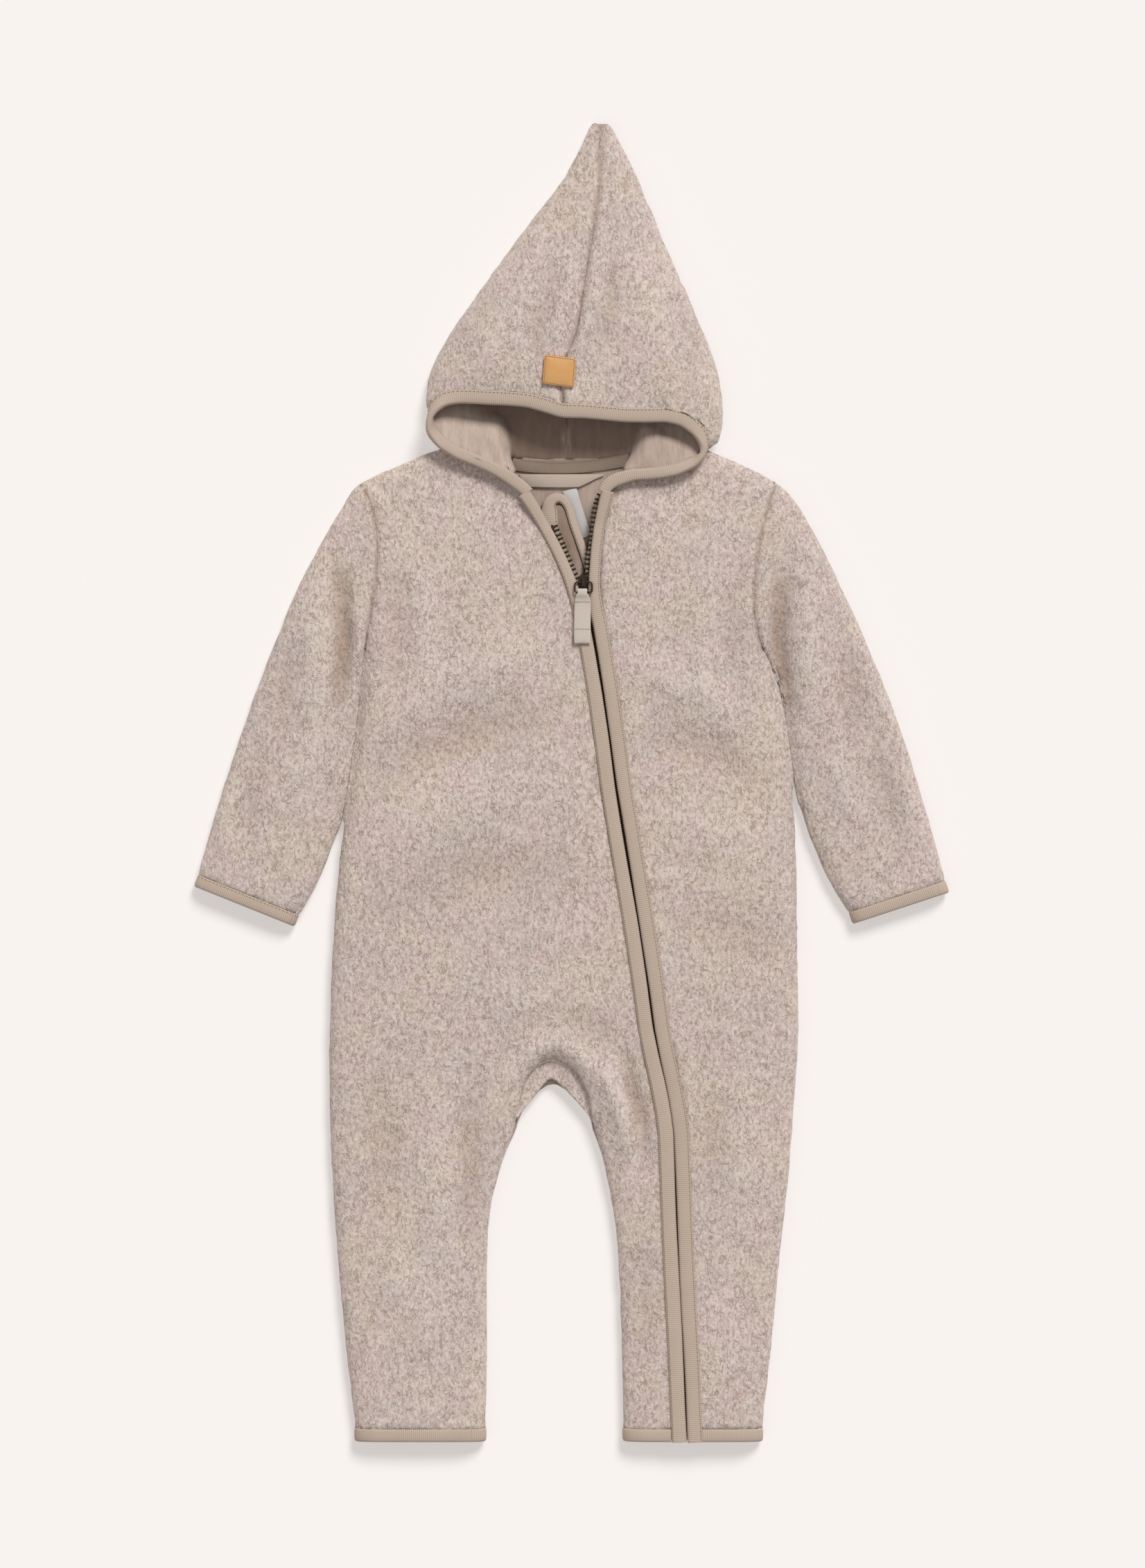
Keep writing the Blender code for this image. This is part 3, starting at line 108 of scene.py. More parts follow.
table_mesh = bmesh.new()
bmesh.ops.create_grid(table_mesh, x_segments=8, y_segments=8, size=4.0)
table_look, nodes, links, shader = make_material("table_paper", (0.50, 0.476, 0.462), 0.95)
shader.inputs["Emission Color"].default_value = (1.0, 0.952, 0.925, 1)
shader.inputs["Emission Strength"].default_value = 0.43
mottle = nodes.new("ShaderNodeTexNoise")
mottle.inputs["Scale"].default_value = 3.0
tint_between(nodes, links, shader, mottle.outputs["Fac"], (0.497, 0.474, 0.461),
             (0.503, 0.478, 0.464))
table = link_object("table", baked_mesh(table_mesh, "table"), table_look)

world = bpy.data.worlds.new("studio")
world.use_nodes = True
world.node_tree.nodes["Background"].inputs["Color"].default_value = (1.0, 0.985, 0.975, 1)
world.node_tree.nodes["Background"].inputs["Strength"].default_value = 0.31
bpy.context.scene.world = world
bpy.context.scene.view_settings.view_transform = "Standard"


def sun(name, strength, angle, tilt_x, tilt_y):
    """A soft light from far away, tilted about X and Y from straight overhead, in degrees."""
    data = bpy.data.lights.new(name, "SUN")
    data.energy = strength
    data.angle = math.radians(angle)
    item = bpy.data.objects.new(name, data)
    item.rotation_euler = (math.radians(tilt_x), math.radians(tilt_y), 0)
    bpy.context.scene.collection.objects.link(item)


sun("key", 2.75, 22, -43, 25)
sun("fill", 0.5, 60, 20, -30)


# ---- Fleece ------------------------------------------------------------------------------------
# Thick knitted fleece in a beige melange. Its outside is raised into small curled clumps, and
# its inside is a smooth brushed knit. Each piece is cut from it and sewn to the next with its
# raw edges turned in, so the pile dips at every seam.
FLEECE_THICK = 2.4
PILE_CLUMP = 4.4                # across one clump
PILE_DEPTH = 0.36               # from a clump's top to the crack beside it
PILE_ROLL = 0.55                # height of the slower unevenness under the clumps
PILE_SEED = 7                   # so that the clumps fall the same way each time
SEAM_DIP = 1.25
SEAM_REACH = 1.9
PRESS_REACH = 5.0               # widest gap between two pieces that is closed
PRESS_SHARE = 0.52              # how far each piece comes across the gap
SEAM_GAP = 2.5                  # widest gap between two edges that are sewn to each other
SIDE_GAP = 3.5                  # widest gap between two pieces that lie side by side
TUCK_REACH = 2.6                # from a bound edge to its binding
TUCK_FURTHER = 1.8              # how far the edge goes on under its binding
BOUND_EDGES = ["hood_binding", "zip_binding_right", "zip_binding_left", "cuff_binding_right",
               "cuff_binding_left", "hem_binding_right", "hem_binding_left"]
FLEECE_NODES = ["back_panel", "front_right", "front_left", "crotch_gusset", "sleeve_right",
                "sleeve_left", "hood_right", "hood_left", "underlap"]
FIBRE_GREY = (0.578, 0.486, 0.446)
FIBRE_OAT = (0.618, 0.518, 0.440)
FIBRE_ROSE = (0.612, 0.493, 0.452)
# Pale fibre tips, also used as a painted highlight on clump tops and fold crests.
PALE_FIBRE_AND_HIGHLIGHT = (0.740, 0.650, 0.600)
# Painted shade in the pile's cracks, low places and seams.
PILE_SHADE_BROWN = (0.255, 0.155, 0.108)
# Painted shade in the fold hollows.
FOLD_HOLLOW_SHADE = (0.345, 0.238, 0.176)
# Painted shade on the knit inside the suit.
KNIT_SHADE = (0.150, 0.088, 0.058)


def add(nodes, kind, **values):
    """A shader node with some of its inputs set."""
    node = nodes.new("ShaderNode" + kind)
    for key, value in values.items():
        if key in node.inputs:
            node.inputs[key].default_value = value
        else:
            setattr(node, key, value)
    return node


def new_group(name, inputs, outputs):
    """An empty node group with float inputs and the given outputs."""
    group = bpy.data.node_groups.new(name, "ShaderNodeTree")
    for word, value in inputs:
        socket = group.interface.new_socket(word, in_out="INPUT", socket_type="NodeSocketFloat")
        socket.default_value = value
    for word, kind in outputs:
        group.interface.new_socket(word, in_out="OUTPUT", socket_type="NodeSocket" + kind)
    return group, group.nodes.new("NodeGroupInput"), group.nodes.new("NodeGroupOutput")


def blend(group, one, two, factor):
    """Mixes two colours, each a socket or a plain colour, by a socket."""
    node = group.nodes.new("ShaderNodeMixRGB")
    for slot, value in (("Color1", one), ("Color2", two), ("Fac", factor)):
        if isinstance(value, bpy.types.NodeSocket):
            group.links.new(value, node.inputs[slot])
        elif isinstance(value, tuple):
            node.inputs[slot].default_value = (*value, 1)
        else:
            node.inputs[slot].default_value = value
    return node.outputs["Color"]


def ramp(group, value, low, high, start=0.0, end=1.0):
    """Runs smoothly from start at low to end at high."""
    node = add(group.nodes, "MapRange", interpolation_type="SMOOTHSTEP")
    node.inputs["From Min"].default_value = low
    node.inputs["From Max"].default_value = high
    node.inputs["To Min"].default_value = start
    node.inputs["To Max"].default_value = end
    group.links.new(value, node.inputs["Value"])
    return node.outputs["Result"]


def sums(group, kind, one, two):
    node = add(group.nodes, "Math", operation=kind)
    for slot, value in zip(node.inputs, (one, two)):
        if isinstance(value, bpy.types.NodeSocket):
            group.links.new(value, slot)
        else:
            slot.default_value = value
    return node.outputs["Value"]


def spots(group, vector, scale, detail=2.0, roughness=0.5):
    node = add(group.nodes, "TexNoise", Scale=scale, Detail=detail, Roughness=roughness)
    group.links.new(vector, node.inputs["Vector"])
    return node.outputs["Fac"]


def warped(group, vector, scale, reach):
    """The same coordinates pushed about by a noise."""
    drift = add(group.nodes, "TexNoise", Scale=scale, Detail=1.0)
    group.links.new(vector, drift.inputs["Vector"])
    centred = add(group.nodes, "VectorMath", operation="SUBTRACT")
    centred.inputs[1].default_value = (0.5, 0.5, 0.5)
    group.links.new(drift.outputs["Color"], centred.inputs[0])
    scaled = add(group.nodes, "VectorMath", operation="SCALE")
    scaled.inputs["Scale"].default_value = reach
    group.links.new(centred.outputs["Vector"], scaled.inputs[0])
    moved = add(group.nodes, "VectorMath", operation="ADD")
    group.links.new(vector, moved.inputs[0])
    group.links.new(scaled.outputs["Vector"], moved.inputs[1])
    return moved.outputs["Vector"]


def creases(group, vector, scale, width):
    """1 along thin wandering lines, which run where a noise crosses its middle."""
    level = spots(group, vector, scale, 1.5, 0.5)
    off = sums(group, "ABSOLUTE", sums(group, "SUBTRACT", level, 0.5), 0.0)
    return ramp(group, off, 0.0, width, 1.0, 0.0)


# The pile: soft clumps a millimetre or two across, taller than wide, over blotches of greyer,
# yellower and rosier fibre. The clump tops are paler, partly pale fibre tips and partly a painted
# highlight, and painted shade darkens the low places and the short creases between some clumps.
pile, pile_in, pile_out = new_group("curled_pile", [("Curl", 1.0)],
                                    [("Color", "Color"), ("Height", "Float")])
place = pile.nodes.new("ShaderNodeTexCoord")
stretch = add(pile.nodes, "Mapping", Scale=(1.30, 0.78, 1.0))
pile.links.new(place.outputs["Object"], stretch.inputs["Vector"])
curl_place = warped(pile, stretch.outputs["Vector"], 420.0, 0.0022)
clumps = spots(pile, curl_place, 470.0, 2.5, 0.55)
low_clump_shade = ramp(pile, clumps, 0.56, 0.34)
pale_tips_and_highlight = ramp(pile, clumps, 0.52, 0.68)
broken = ramp(pile, spots(pile, stretch.outputs["Vector"], 190.0, 2.0), 0.46, 0.64)
broken_fine = ramp(pile, spots(pile, stretch.outputs["Vector"], 360.0, 1.0), 0.48, 0.62)
cracks = sums(pile, "MULTIPLY", creases(pile, curl_place, 250.0, 0.065), broken)
cracks_fine = sums(pile, "MULTIPLY", creases(pile, curl_place, 480.0, 0.055), broken_fine)
cracks = sums(pile, "MAXIMUM", cracks, cracks_fine)
cracks = sums(pile, "MULTIPLY", cracks, pile_in.outputs["Curl"])
fuzz = spots(pile, place.outputs["Object"], 1500.0, 2.0, 0.6)
ground = blend(pile, FIBRE_GREY, FIBRE_OAT,
               ramp(pile, spots(pile, place.outputs["Object"], 27.0, 3.0), 0.40, 0.62))
ground = blend(pile, ground, FIBRE_ROSE,
               ramp(pile, spots(pile, warped(pile, place.outputs["Object"], 30.0, 0.02), 38.0, 3.0),
                    0.46, 0.66))
# Paler clump tops: pale fibre tips, partly a painted highlight.
ground = blend(pile, ground, PALE_FIBRE_AND_HIGHLIGHT, sums(pile, "MULTIPLY", pale_tips_and_highlight, 0.50))
# Painted light on the folds: a highlight along each crest and shade in each hollow.
fold = add(pile.nodes, "Attribute", attribute_name="fold").outputs["Fac"]
crest_highlight = sums(pile, "MULTIPLY", sums(pile, "MAXIMUM", fold, 0.0), 0.55)
hollow_shade = sums(pile, "MULTIPLY", sums(pile, "MINIMUM", fold, 0.0), -0.66)
ground = blend(pile, ground, PALE_FIBRE_AND_HIGHLIGHT, crest_highlight)
shade = blend(pile, ground, FOLD_HOLLOW_SHADE, hollow_shade)
# Painted shade: browner in the low places between clumps and along the cracks.
shade = blend(pile, shade, PILE_SHADE_BROWN, sums(pile, "MULTIPLY", low_clump_shade, 0.30))
shade = blend(pile, shade, PILE_SHADE_BROWN, sums(pile, "MULTIPLY", cracks, 0.58))
# Painted shade along every seam, weaker where a binding covers the edge.
seam = add(pile.nodes, "Attribute", attribute_name="seam")
shade = blend(pile, shade, PILE_SHADE_BROWN, sums(pile, "MULTIPLY", seam.outputs["Fac"], 0.52))
pile.links.new(shade, pile_out.inputs["Color"])
lift = sums(pile, "MULTIPLY", clumps, 1.6)
lift = sums(pile, "SUBTRACT", lift, sums(pile, "MULTIPLY", cracks, 0.6))
lift = sums(pile, "ADD", lift, sums(pile, "MULTIPLY", fuzz, 0.35))
pile.links.new(lift, pile_out.inputs["Height"])

# The knit inside: fine vertical columns of brushed yarn in the same three fibres, darkened by
# painted shade on the faces that lie inside the suit.
knit, knit_in, knit_out = new_group("brushed_knit", [("Contrast", 1.0)],
                                    [("Color", "Color"), ("Height", "Float")])
place = knit.nodes.new("ShaderNodeTexCoord")
columns = add(knit.nodes, "Mapping", Scale=(1.0, 0.22, 0.3))
columns.inputs["Rotation"].default_value = (0, 0, 0.45)
knit.links.new(place.outputs["Object"], columns.inputs["Vector"])
columns = warped(knit, columns.outputs["Vector"], 90.0, 0.004)
streaks = spots(knit, columns, 1100.0, 3.0, 0.65)
ground = blend(knit, (0.520, 0.395, 0.322), (0.640, 0.515, 0.440),
               ramp(knit, spots(knit, columns, 240.0, 3.0, 0.6), 0.36, 0.66))
ground = blend(knit, ground, (0.68, 0.59, 0.53),
               sums(knit, "MULTIPLY", ramp(knit, streaks, 0.45, 0.70), 0.42))
inside_shade = add(knit.nodes, "Attribute", attribute_name="inside_shade")
ground = blend(knit, ground, KNIT_SHADE, sums(knit, "MULTIPLY", inside_shade.outputs["Fac"], 0.77))
knit.links.new(ground, knit_out.inputs["Color"])
knit_height = sums(knit, "MULTIPLY", streaks, knit_in.outputs["Contrast"])
knit.links.new(knit_height, knit_out.inputs["Height"])


def raise_bump(nodes, links, shader, height, strength, distance):
    bump = nodes.new("ShaderNodeBump")
    bump.inputs["Strength"].default_value = strength
    bump.inputs["Distance"].default_value = distance
    links.new(height, bump.inputs["Height"])
    links.new(bump.outputs["Normal"], shader.inputs["Normal"])


def cloth_look(name, group, roughness, sheen, strength, distance):
    """A material whose colour and bump come from one of the cloth groups."""
    material, nodes, links, shader = make_material(name, FIBRE_OAT, roughness, sheen=sheen)
    shader.inputs["Sheen Roughness"].default_value = 0.6
    shader.inputs["Specular IOR Level"].default_value = 0.15
    surface = nodes.new("ShaderNodeGroup")
    surface.node_tree = group
    links.new(surface.outputs["Color"], shader.inputs["Base Color"])
    raise_bump(nodes, links, shader, surface.outputs["Height"], strength, distance)
    return material


fleece_look = cloth_look("fleece_pile", pile, 0.95, 0.25, 0.75, 0.5 * MM)
inside_look = cloth_look("fleece_inside", knit, 0.9, 0.12, 0.35, 0.12 * MM)


def merged(node):
    """A copy of a CAD node's mesh with its loose triangles joined at their corners."""
    mesh = bmesh.new()
    mesh.from_mesh(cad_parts[node].data)
    bmesh.ops.remove_doubles(mesh, verts=mesh.verts, dist=0.01 * MM)
    mesh.faces.ensure_lookup_table()
    return mesh


def outer_face(node, bend):
    """The larger side of a cloth solid's wall, without its rims. The sides part where the
    surface turns by more than the bend, in degrees."""
    mesh = merged(node)
    side, areas, heights = {}, [], []
    for start in mesh.faces:
        if start in side:
            continue
        side[start] = len(areas)
        areas.append(0.0)
        heights.append(0.0)
        stack = [start]
        while stack:
            face = stack.pop()
            areas[-1] += face.calc_area()
            heights[-1] += face.calc_area() * face.normal.z
            for edge in face.edges:
                if edge.calc_face_angle(0) > math.radians(bend):
                    continue
                for other in edge.link_faces:
                    if other not in side:
                        side[other] = len(areas) - 1
                        stack.append(other)
    largest = max(areas)
    like = [k for k, area in enumerate(areas) if area > 0.8 * largest]
    up = max(like, key=lambda k: heights[k])
    keep = up if node in ("underlap", "crotch_gusset") else areas.index(largest)
    bmesh.ops.delete(mesh, geom=[f for f in mesh.faces if side[f] != keep], context="FACES")
    bmesh.ops.join_triangles(mesh, faces=mesh.faces, angle_face_threshold=math.pi,
                             angle_shape_threshold=math.pi)
    return mesh


def applied(item):
    """The mesh that an object's modifiers make. The object keeps none of them."""
    made = bpy.data.meshes.new_from_object(item.evaluated_get(
        bpy.context.evaluated_depsgraph_get()))
    item.modifiers.clear()
    return made


def refine(mesh, name, length):
    """Rounds the facets off, then splits long edges until none is longer than length. A
    triangle has one or all of its edges split, so that only triangles are left."""
    data = baked_mesh(mesh, name)
    item = link_object(name, data)
    step = item.modifiers.new("round", "SUBSURF")
    step.levels = 1
    step.render_levels = 1
    step.boundary_smooth = "PRESERVE_CORNERS"
    rounded = applied(item)
    fine = bmesh.new()
    fine.from_mesh(rounded)
    bmesh.ops.triangulate(fine, faces=fine.faces)
    chosen = {e for e in fine.edges if e.calc_length() > length * MM}
    while chosen:
        waiting = list(fine.faces)
        while waiting:
            face = waiting.pop()
            uncut = [e for e in face.edges if e not in chosen]
            if len(uncut) == 1:
                chosen.add(uncut[0])
                waiting.extend(uncut[0].link_faces)
        in_order = [e for e in fine.edges if e in chosen]
        bmesh.ops.subdivide_edges(fine, edges=in_order, cuts=1, use_grid_fill=True,
                                  use_single_edge=True)
        chosen = {e for e in fine.edges if e.calc_length() > length * MM}
    fine.to_mesh(data)
    fine.free()
    return item


def read_points(data):
    points = np.empty(len(data.vertices) * 3)
    data.vertices.foreach_get("co", points)
    return points.reshape(-1, 3)


def write_points(data, points):
    data.vertices.foreach_set("co", points.ravel())
    data.update()


def read_normals(data):
    normals = np.empty(len(data.vertices) * 3)
    data.vertex_normals.foreach_get("vector", normals)
    return normals.reshape(-1, 3)


def edge_table(data):
    """The ends of every edge, and which points lie on the open border."""
    pairs = np.empty(len(data.edges) * 2, np.int64)
    data.edges.foreach_get("vertices", pairs)
    pairs = pairs.reshape(-1, 2)
    used = np.empty(len(data.loops), np.int64)
    data.loops.foreach_get("edge_index", used)
    open_edges = np.bincount(used, minlength=len(pairs)) == 1
    border = np.zeros(len(data.vertices), bool)
    border[pairs[open_edges].ravel()] = True
    return pairs, border


def relax(points, pairs, fixed, rounds):
    """Moves each point towards the middle of its neighbours, again and again."""
    count = len(points)
    degree = np.bincount(pairs.ravel(), minlength=count)[:, None]
    free = ~fixed
    for _ in range(rounds):
        total = np.empty_like(points)
        for axis in range(points.shape[1]):
            total[:, axis] = (np.bincount(pairs[:, 0], points[pairs[:, 1], axis], count)
                              + np.bincount(pairs[:, 1], points[pairs[:, 0], axis], count))
        middle = total / np.maximum(degree, 1)
        points[free] += 0.6 * (middle - points)[free]
    return points


def fold_heights(points, folds):
    """Height in millimetres of the folds at each point, seen from above. Each fold has its
    height, its half width and the points it runs through."""
    heights = np.zeros(len(points))
    flat = points[:, :2] / MM
    for height, half_width, path in folds:
        knots = np.array(path, float)
        steps = np.diff(knots, axis=0)
        lengths = np.linalg.norm(steps, axis=1)
        starts = np.concatenate([[0], np.cumsum(lengths)])
        best = np.full(len(points), 1e9)
        share = np.zeros(len(points))
        for start, step, length, before in zip(knots, steps, lengths, starts):
            t = np.clip(((flat - start) @ step) / length ** 2, 0, 1)
            gap = np.linalg.norm(flat - start - t[:, None] * step, axis=1)
            nearer = gap < best
            best[nearer] = gap[nearer]
            share[nearer] = ((before + t * length) / starts[-1])[nearer]
        taper = np.sin(np.pi * np.clip(share, 0.02, 0.98)) ** 0.8
        heights += height * np.exp(-(best / half_width) ** 2) * taper
    return heights


noise.seed_set(PILE_SEED)


def pile_heights(points):
    """How far the pile stands out from its middle at each point, in millimetres."""
    heights = np.empty(len(points))
    for i, point in enumerate(points):
        spot = Vector(point) / MM
        drift = noise.noise_vector(spot / 9.0)
        cell = Vector((spot.x * 1.12, spot.y * 0.9, spot.z)) / PILE_CLUMP + drift * 0.55
        near = noise.voronoi(cell)[0]
        clump = min((near[1] - near[0]) * 1.6, 1.0)
        clump = clump * clump * (3 - 2 * clump)
        heights[i] = PILE_DEPTH * (clump - 0.7) + PILE_ROLL * noise.noise(spot / 9.0)
    return heights


def border_distance(points, border):
    """Distance in millimetres from each point to the piece's edge, and the edge point there."""
    tree = KDTree(int(border.sum()))
    for i in np.flatnonzero(border):
        tree.insert(points[i], int(i))
    tree.balance()
    found = [tree.find(point) for point in points]
    return np.array([f[2] for f in found]) / MM, np.array([f[1] for f in found])


def solids_tree(nodes):
    """A search tree of the surfaces of some of the CAD's solids."""
    points, faces = [], []
    for node in nodes:
        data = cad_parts[node].data
        start = len(points)
        points += [v.co.copy() for v in data.vertices]
        faces += [[start + k for k in p.vertices] for p in data.polygons]
    return BVHTree.FromPolygons(points, faces)


def press_seams(node, outside, normals, distance):
    """Moves the points beside another piece towards it, so that seams close and a sleeve lies
    against the body. Only sideways gaps are closed."""
    tree = solids_tree(other for other in FLEECE_NODES if other != node)
    moved = outside.copy()
    for i, point in enumerate(outside):
        near = tree.find_nearest(Vector(point), PRESS_REACH * MM)[0]
        if near is None:
            continue
        way = np.array(near) - point
        gap = np.linalg.norm(way)
        if gap < 1e-7:
            continue
        share = PRESS_SHARE * min(1.0, 1.6 * (1 - gap / (PRESS_REACH * MM)))
        if distance[i] < 0.6 and gap < SEAM_GAP * MM:
            moved[i] = point + way * (share + 0.40 * MM / gap)
        elif normals[i] @ way > 0.3 * gap and abs(way[2]) < 0.8 * gap:
            moved[i] = point + way * (share + (gap < SIDE_GAP * MM) * 0.6 * MM / gap)
    return moved


def tuck_edges(outside, distance):
    """Slides the edges that are bound further under their bindings, and marks them."""
    tree = solids_tree(BOUND_EDGES)
    moved = outside.copy()
    bound = np.zeros(len(outside))
    for i in np.flatnonzero(distance < 0.1):
        near = tree.find_nearest(Vector(outside[i]), TUCK_REACH * MM)[0]
        if near is not None:
            bound[i] = 1.0
            way = np.array(near) - outside[i]
            gap = np.linalg.norm(way)
            if gap > 1e-7:
                moved[i] = outside[i] + way * (1 + TUCK_FURTHER * MM / gap)
    return moved, bound


def sew_fleece(node, folds, length=3.9, bend=62,
               looks=(fleece_look, inside_look), inner_folds=(), shade_at=lambda point: 0.5):
    """One fleece piece: its skin with its folds, its thickness, and its pile."""
    item = refine(outer_face(node, bend), "fleece_" + node, length)
    skin = item.data
    pairs, border = edge_table(skin)
    points = relax(read_points(skin), pairs, border, 10)
    write_points(skin, points)
    facing = np.clip(read_normals(skin)[:, 2] * 1.6, 0, 1)
    distance, beside = border_distance(points, border)
    fold = fold_heights(points, folds) * facing * np.clip(distance / 5, 0, 1)
    points[:, 2] += MM * fold
    write_points(skin, relax(points, pairs, border, 1))
    count = len(points)
    normals = read_normals(skin).copy()
    wall = item.modifiers.new("wall", "SOLIDIFY")
    wall.thickness = FLEECE_THICK * MM
    wall.offset = -1
    wall.material_offset = 1
    for look in looks:
        skin.materials.append(look)
    solid = applied(item)
    item.data = solid
    points = read_points(solid)
    outside = points[:count]
    pressed, bound = tuck_edges(press_seams(node, outside, normals, distance), distance)
    bound = bound[beside]
    points[count:2 * count][border] += (pressed - outside)[border]
    outside[:] = pressed
    dip = SEAM_DIP * np.exp(-(distance / SEAM_REACH) ** 2) * (1 - 0.95 * bound)
    pile_share = np.clip(distance / 1.5, 0.25, 1)
    rise = relax(pile_heights(outside)[:, None], pairs, border, 1)[:, 0] * pile_share - dip
    outside += MM * rise[:, None] * normals
    inside = points[count:2 * count]
    inside[:, 2] += MM * fold_heights(inside, inner_folds)
    points[:, 2] = np.maximum(points[:, 2], 0.0)
    write_points(solid, points)
    # Painted shade on the knit faces: as much as the piece's shade function gives, half by default.
    inside_shade = np.zeros(len(points))
    inside_shade[count:2 * count] = [shade_at(point / MM) for point in inside]
    if looks[0] == inside_look:
        inside_shade[:count] = [shade_at(point / MM) for point in outside]
    solid.attributes.new("inside_shade", "FLOAT", "POINT").data.foreach_set("value", inside_shade)
    # The seam and fold attributes paint light into the pile: shade along the edges, a highlight on
    # fold crests and shade in fold hollows.
    for word, values in (("seam", np.exp(-(distance / 1.5) ** 2) * (1 - 0.6 * bound)),
                         ("fold", np.clip(fold / 6, -1, 1))):
        spread = np.zeros(len(points))
        spread[:count] = values
        solid.attributes.new(word, "FLOAT", "POINT").data.foreach_set("value", spread)
    solid.shade_smooth()
    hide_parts(node)
    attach(item, "suit")
    return item


# The folds of each piece: height, half width, and the points that they run through.
FRONT_RIGHT_FOLDS = [
    (-1.5, 7, [(-122, 150), (-112, 118), (-108, 84), (-116, 50)]),
    (2.3, 9, [(-104, 160), (-94, 120), (-92, 80), (-104, 34)]),
    (2.5, 16, [(-120, 30), (-84, 62), (-40, 78), (-8, 84)]),
    (-2.5, 15, [(-128, -6), (-90, 22), (-48, 36), (-6, 40)]),
    (2.1, 19, [(-134, -50), (-92, -20), (-40, -8), (10, -12)]),
    (-1.9, 17, [(-136, -92), (-84, -62), (-30, -56), (22, -62)]),
    (2.3, 15, [(-60, -132), (-36, -142), (-4, -146), (24, -132)]),
    (-2.3, 9, [(-44, -160), (-30, -150), (-12, -146), (10, -152), (26, -170)]),
    (3.0, 6, [(-42, -200), (-36, -184), (-24, -170), (-10, -166), (4, -172), (16, -188),
              (21, -204)]),
    (4.4, 5.5, [(20, -172), (24, -190), (31, -212), (38, -240)]),
    (-5.2, 5.5, [(32, -166), (36, -190), (42, -212), (47, -244)]),
    (2.6, 4, [(27, -168), (30, -186), (36, -206), (42, -232)]),
    (-2.7, 8, [(-58, -182), (-66, -214), (-64, -252), (-70, -300)]),
    (2.3, 10, [(-78, -190), (-90, -240), (-84, -300), (-92, -352)]),
    (-2.1, 12, [(-130, -180), (-118, -228), (-122, -280)]),
    (1.9, 11, [(-122, -300), (-100, -330), (-84, -372)]),
    (-1.7, 9, [(40, -290), (46, -330), (44, -372)]),
]
FRONT_LEFT_FOLDS = [
    (-1.7, 7, [(112, 146), (103, 116), (101, 84), (110, 50)]),
    (2.5, 9, [(94, 156), (84, 118), (82, 84), (94, 36)]),
    (2.3, 13, [(110, 30), (84, 56), (52, 70), (28, 74)]),
    (-2.3, 13, [(126, -8), (98, 16), (66, 28), (38, 26)]),
    (1.9, 16, [(130, -62), (104, -36), (76, -28), (50, -36)]),
    (-1.9, 15, [(132, -120), (108, -96), (84, -90), (58, -98)]),
    (2.1, 13, [(124, -170), (110, -200), (104, -246), (108, -290)]),
    (-2.1, 11, [(92, -190), (88, -230), (94, -276)]),
    (1.7, 10, [(92, -320), (100, -350), (98, -388)]),
]
SLEEVE_RIGHT_FOLDS = [
    (-7.0, 6.5, [(-151, 142), (-146, 118), (-144, 96), (-146, 70), (-151, 40)]),
    (3.4, 6, [(-140, 122), (-138, 104), (-137, 86), (-141, 64)]),
    (3.0, 10, [(-158, 150), (-163, 112), (-163, 72), (-170, 30)]),
    (-2.3, 9, [(-176, 96), (-182, 60), (-188, 20)]),
    (2.3, 10, [(-160, 36), (-172, 0), (-188, -34)]),
    (-2.1, 8, [(-196, 24), (-204, -8), (-206, -44)]),
    (1.7, 8, [(-214, 2), (-222, -24), (-224, -48)]),
]
SLEEVE_LEFT_FOLDS = [
    (-7.0, 6.5, [(139, 140), (132, 116), (130, 92), (133, 66), (141, 38)]),
    (2.6, 4.5, [(128, 120), (124, 98), (126, 78), (133, 56)]),
    (3.0, 10, [(149, 146), (149, 108), (150, 74), (158, 34)]),
    (-2.3, 9, [(172, 92), (178, 56), (186, 22)]),
    (2.3, 9, [(163, 30), (172, -2), (184, -36)]),
    (-2.1, 8, [(192, 26), (200, -8), (206, -40)]),
    (1.7, 8, [(208, 14), (216, -14), (222, -44)]),
]
HOOD_RIGHT_FOLDS = [
    (2.8, 5, [(-12, 276), (-10, 292), (-3, 312), (0, 336)]),
    (-2.3, 6, [(-22, 262), (-24, 284), (-16, 306), (-10, 330)]),
    (2.3, 3.5, [(-9.5, 250), (-10.5, 244), (-11, 239)]),
    (1.7, 12, [(-60, 262), (-46, 290), (-30, 318), (-16, 348)]),
    (-1.5, 9, [(-80, 254), (-66, 280), (-46, 312)]),
]
HOOD_LEFT_FOLDS = [
    (3.0, 5, [(6, 268), (9, 290), (14, 312), (17, 340)]),
    (-2.3, 6, [(20, 264), (22, 286), (25, 310), (26, 332)]),
    (2.5, 3.0, [(-3.2, 251), (-2.4, 244), (-2.0, 239)]),
    (1.7, 12, [(58, 262), (52, 292), (44, 322), (36, 352)]),
    (-1.5, 9, [(82, 250), (76, 280), (62, 316)]),
]
HOOD_SEAM_RIDGE = [(1.0, 1.7, [(-1.8, 232), (-3.5, 223.3), (-4.4, 220), (-2.7, 215.4),
                               (-1.4, 208)])]


def hood_inside_shade(point):
    """1 at the back of the hood, in the lip's shade, and less on its cheeks."""
    x, y, z = point
    ridge = fold_heights(np.array([point]) * MM, HOOD_SEAM_RIDGE)[0]
    low = float(np.clip((11.0 - z) / 6.0, 0, 1) * (1 - 0.45 * ridge))
    return max(low, 0.5 if x > 0 else 0.35)


def underlap_inside_shade(point):
    """Deeper in shade towards the open neck."""
    return float(np.clip(0.45 + (point[1] - 120) / 60, 0.45, 0.95))


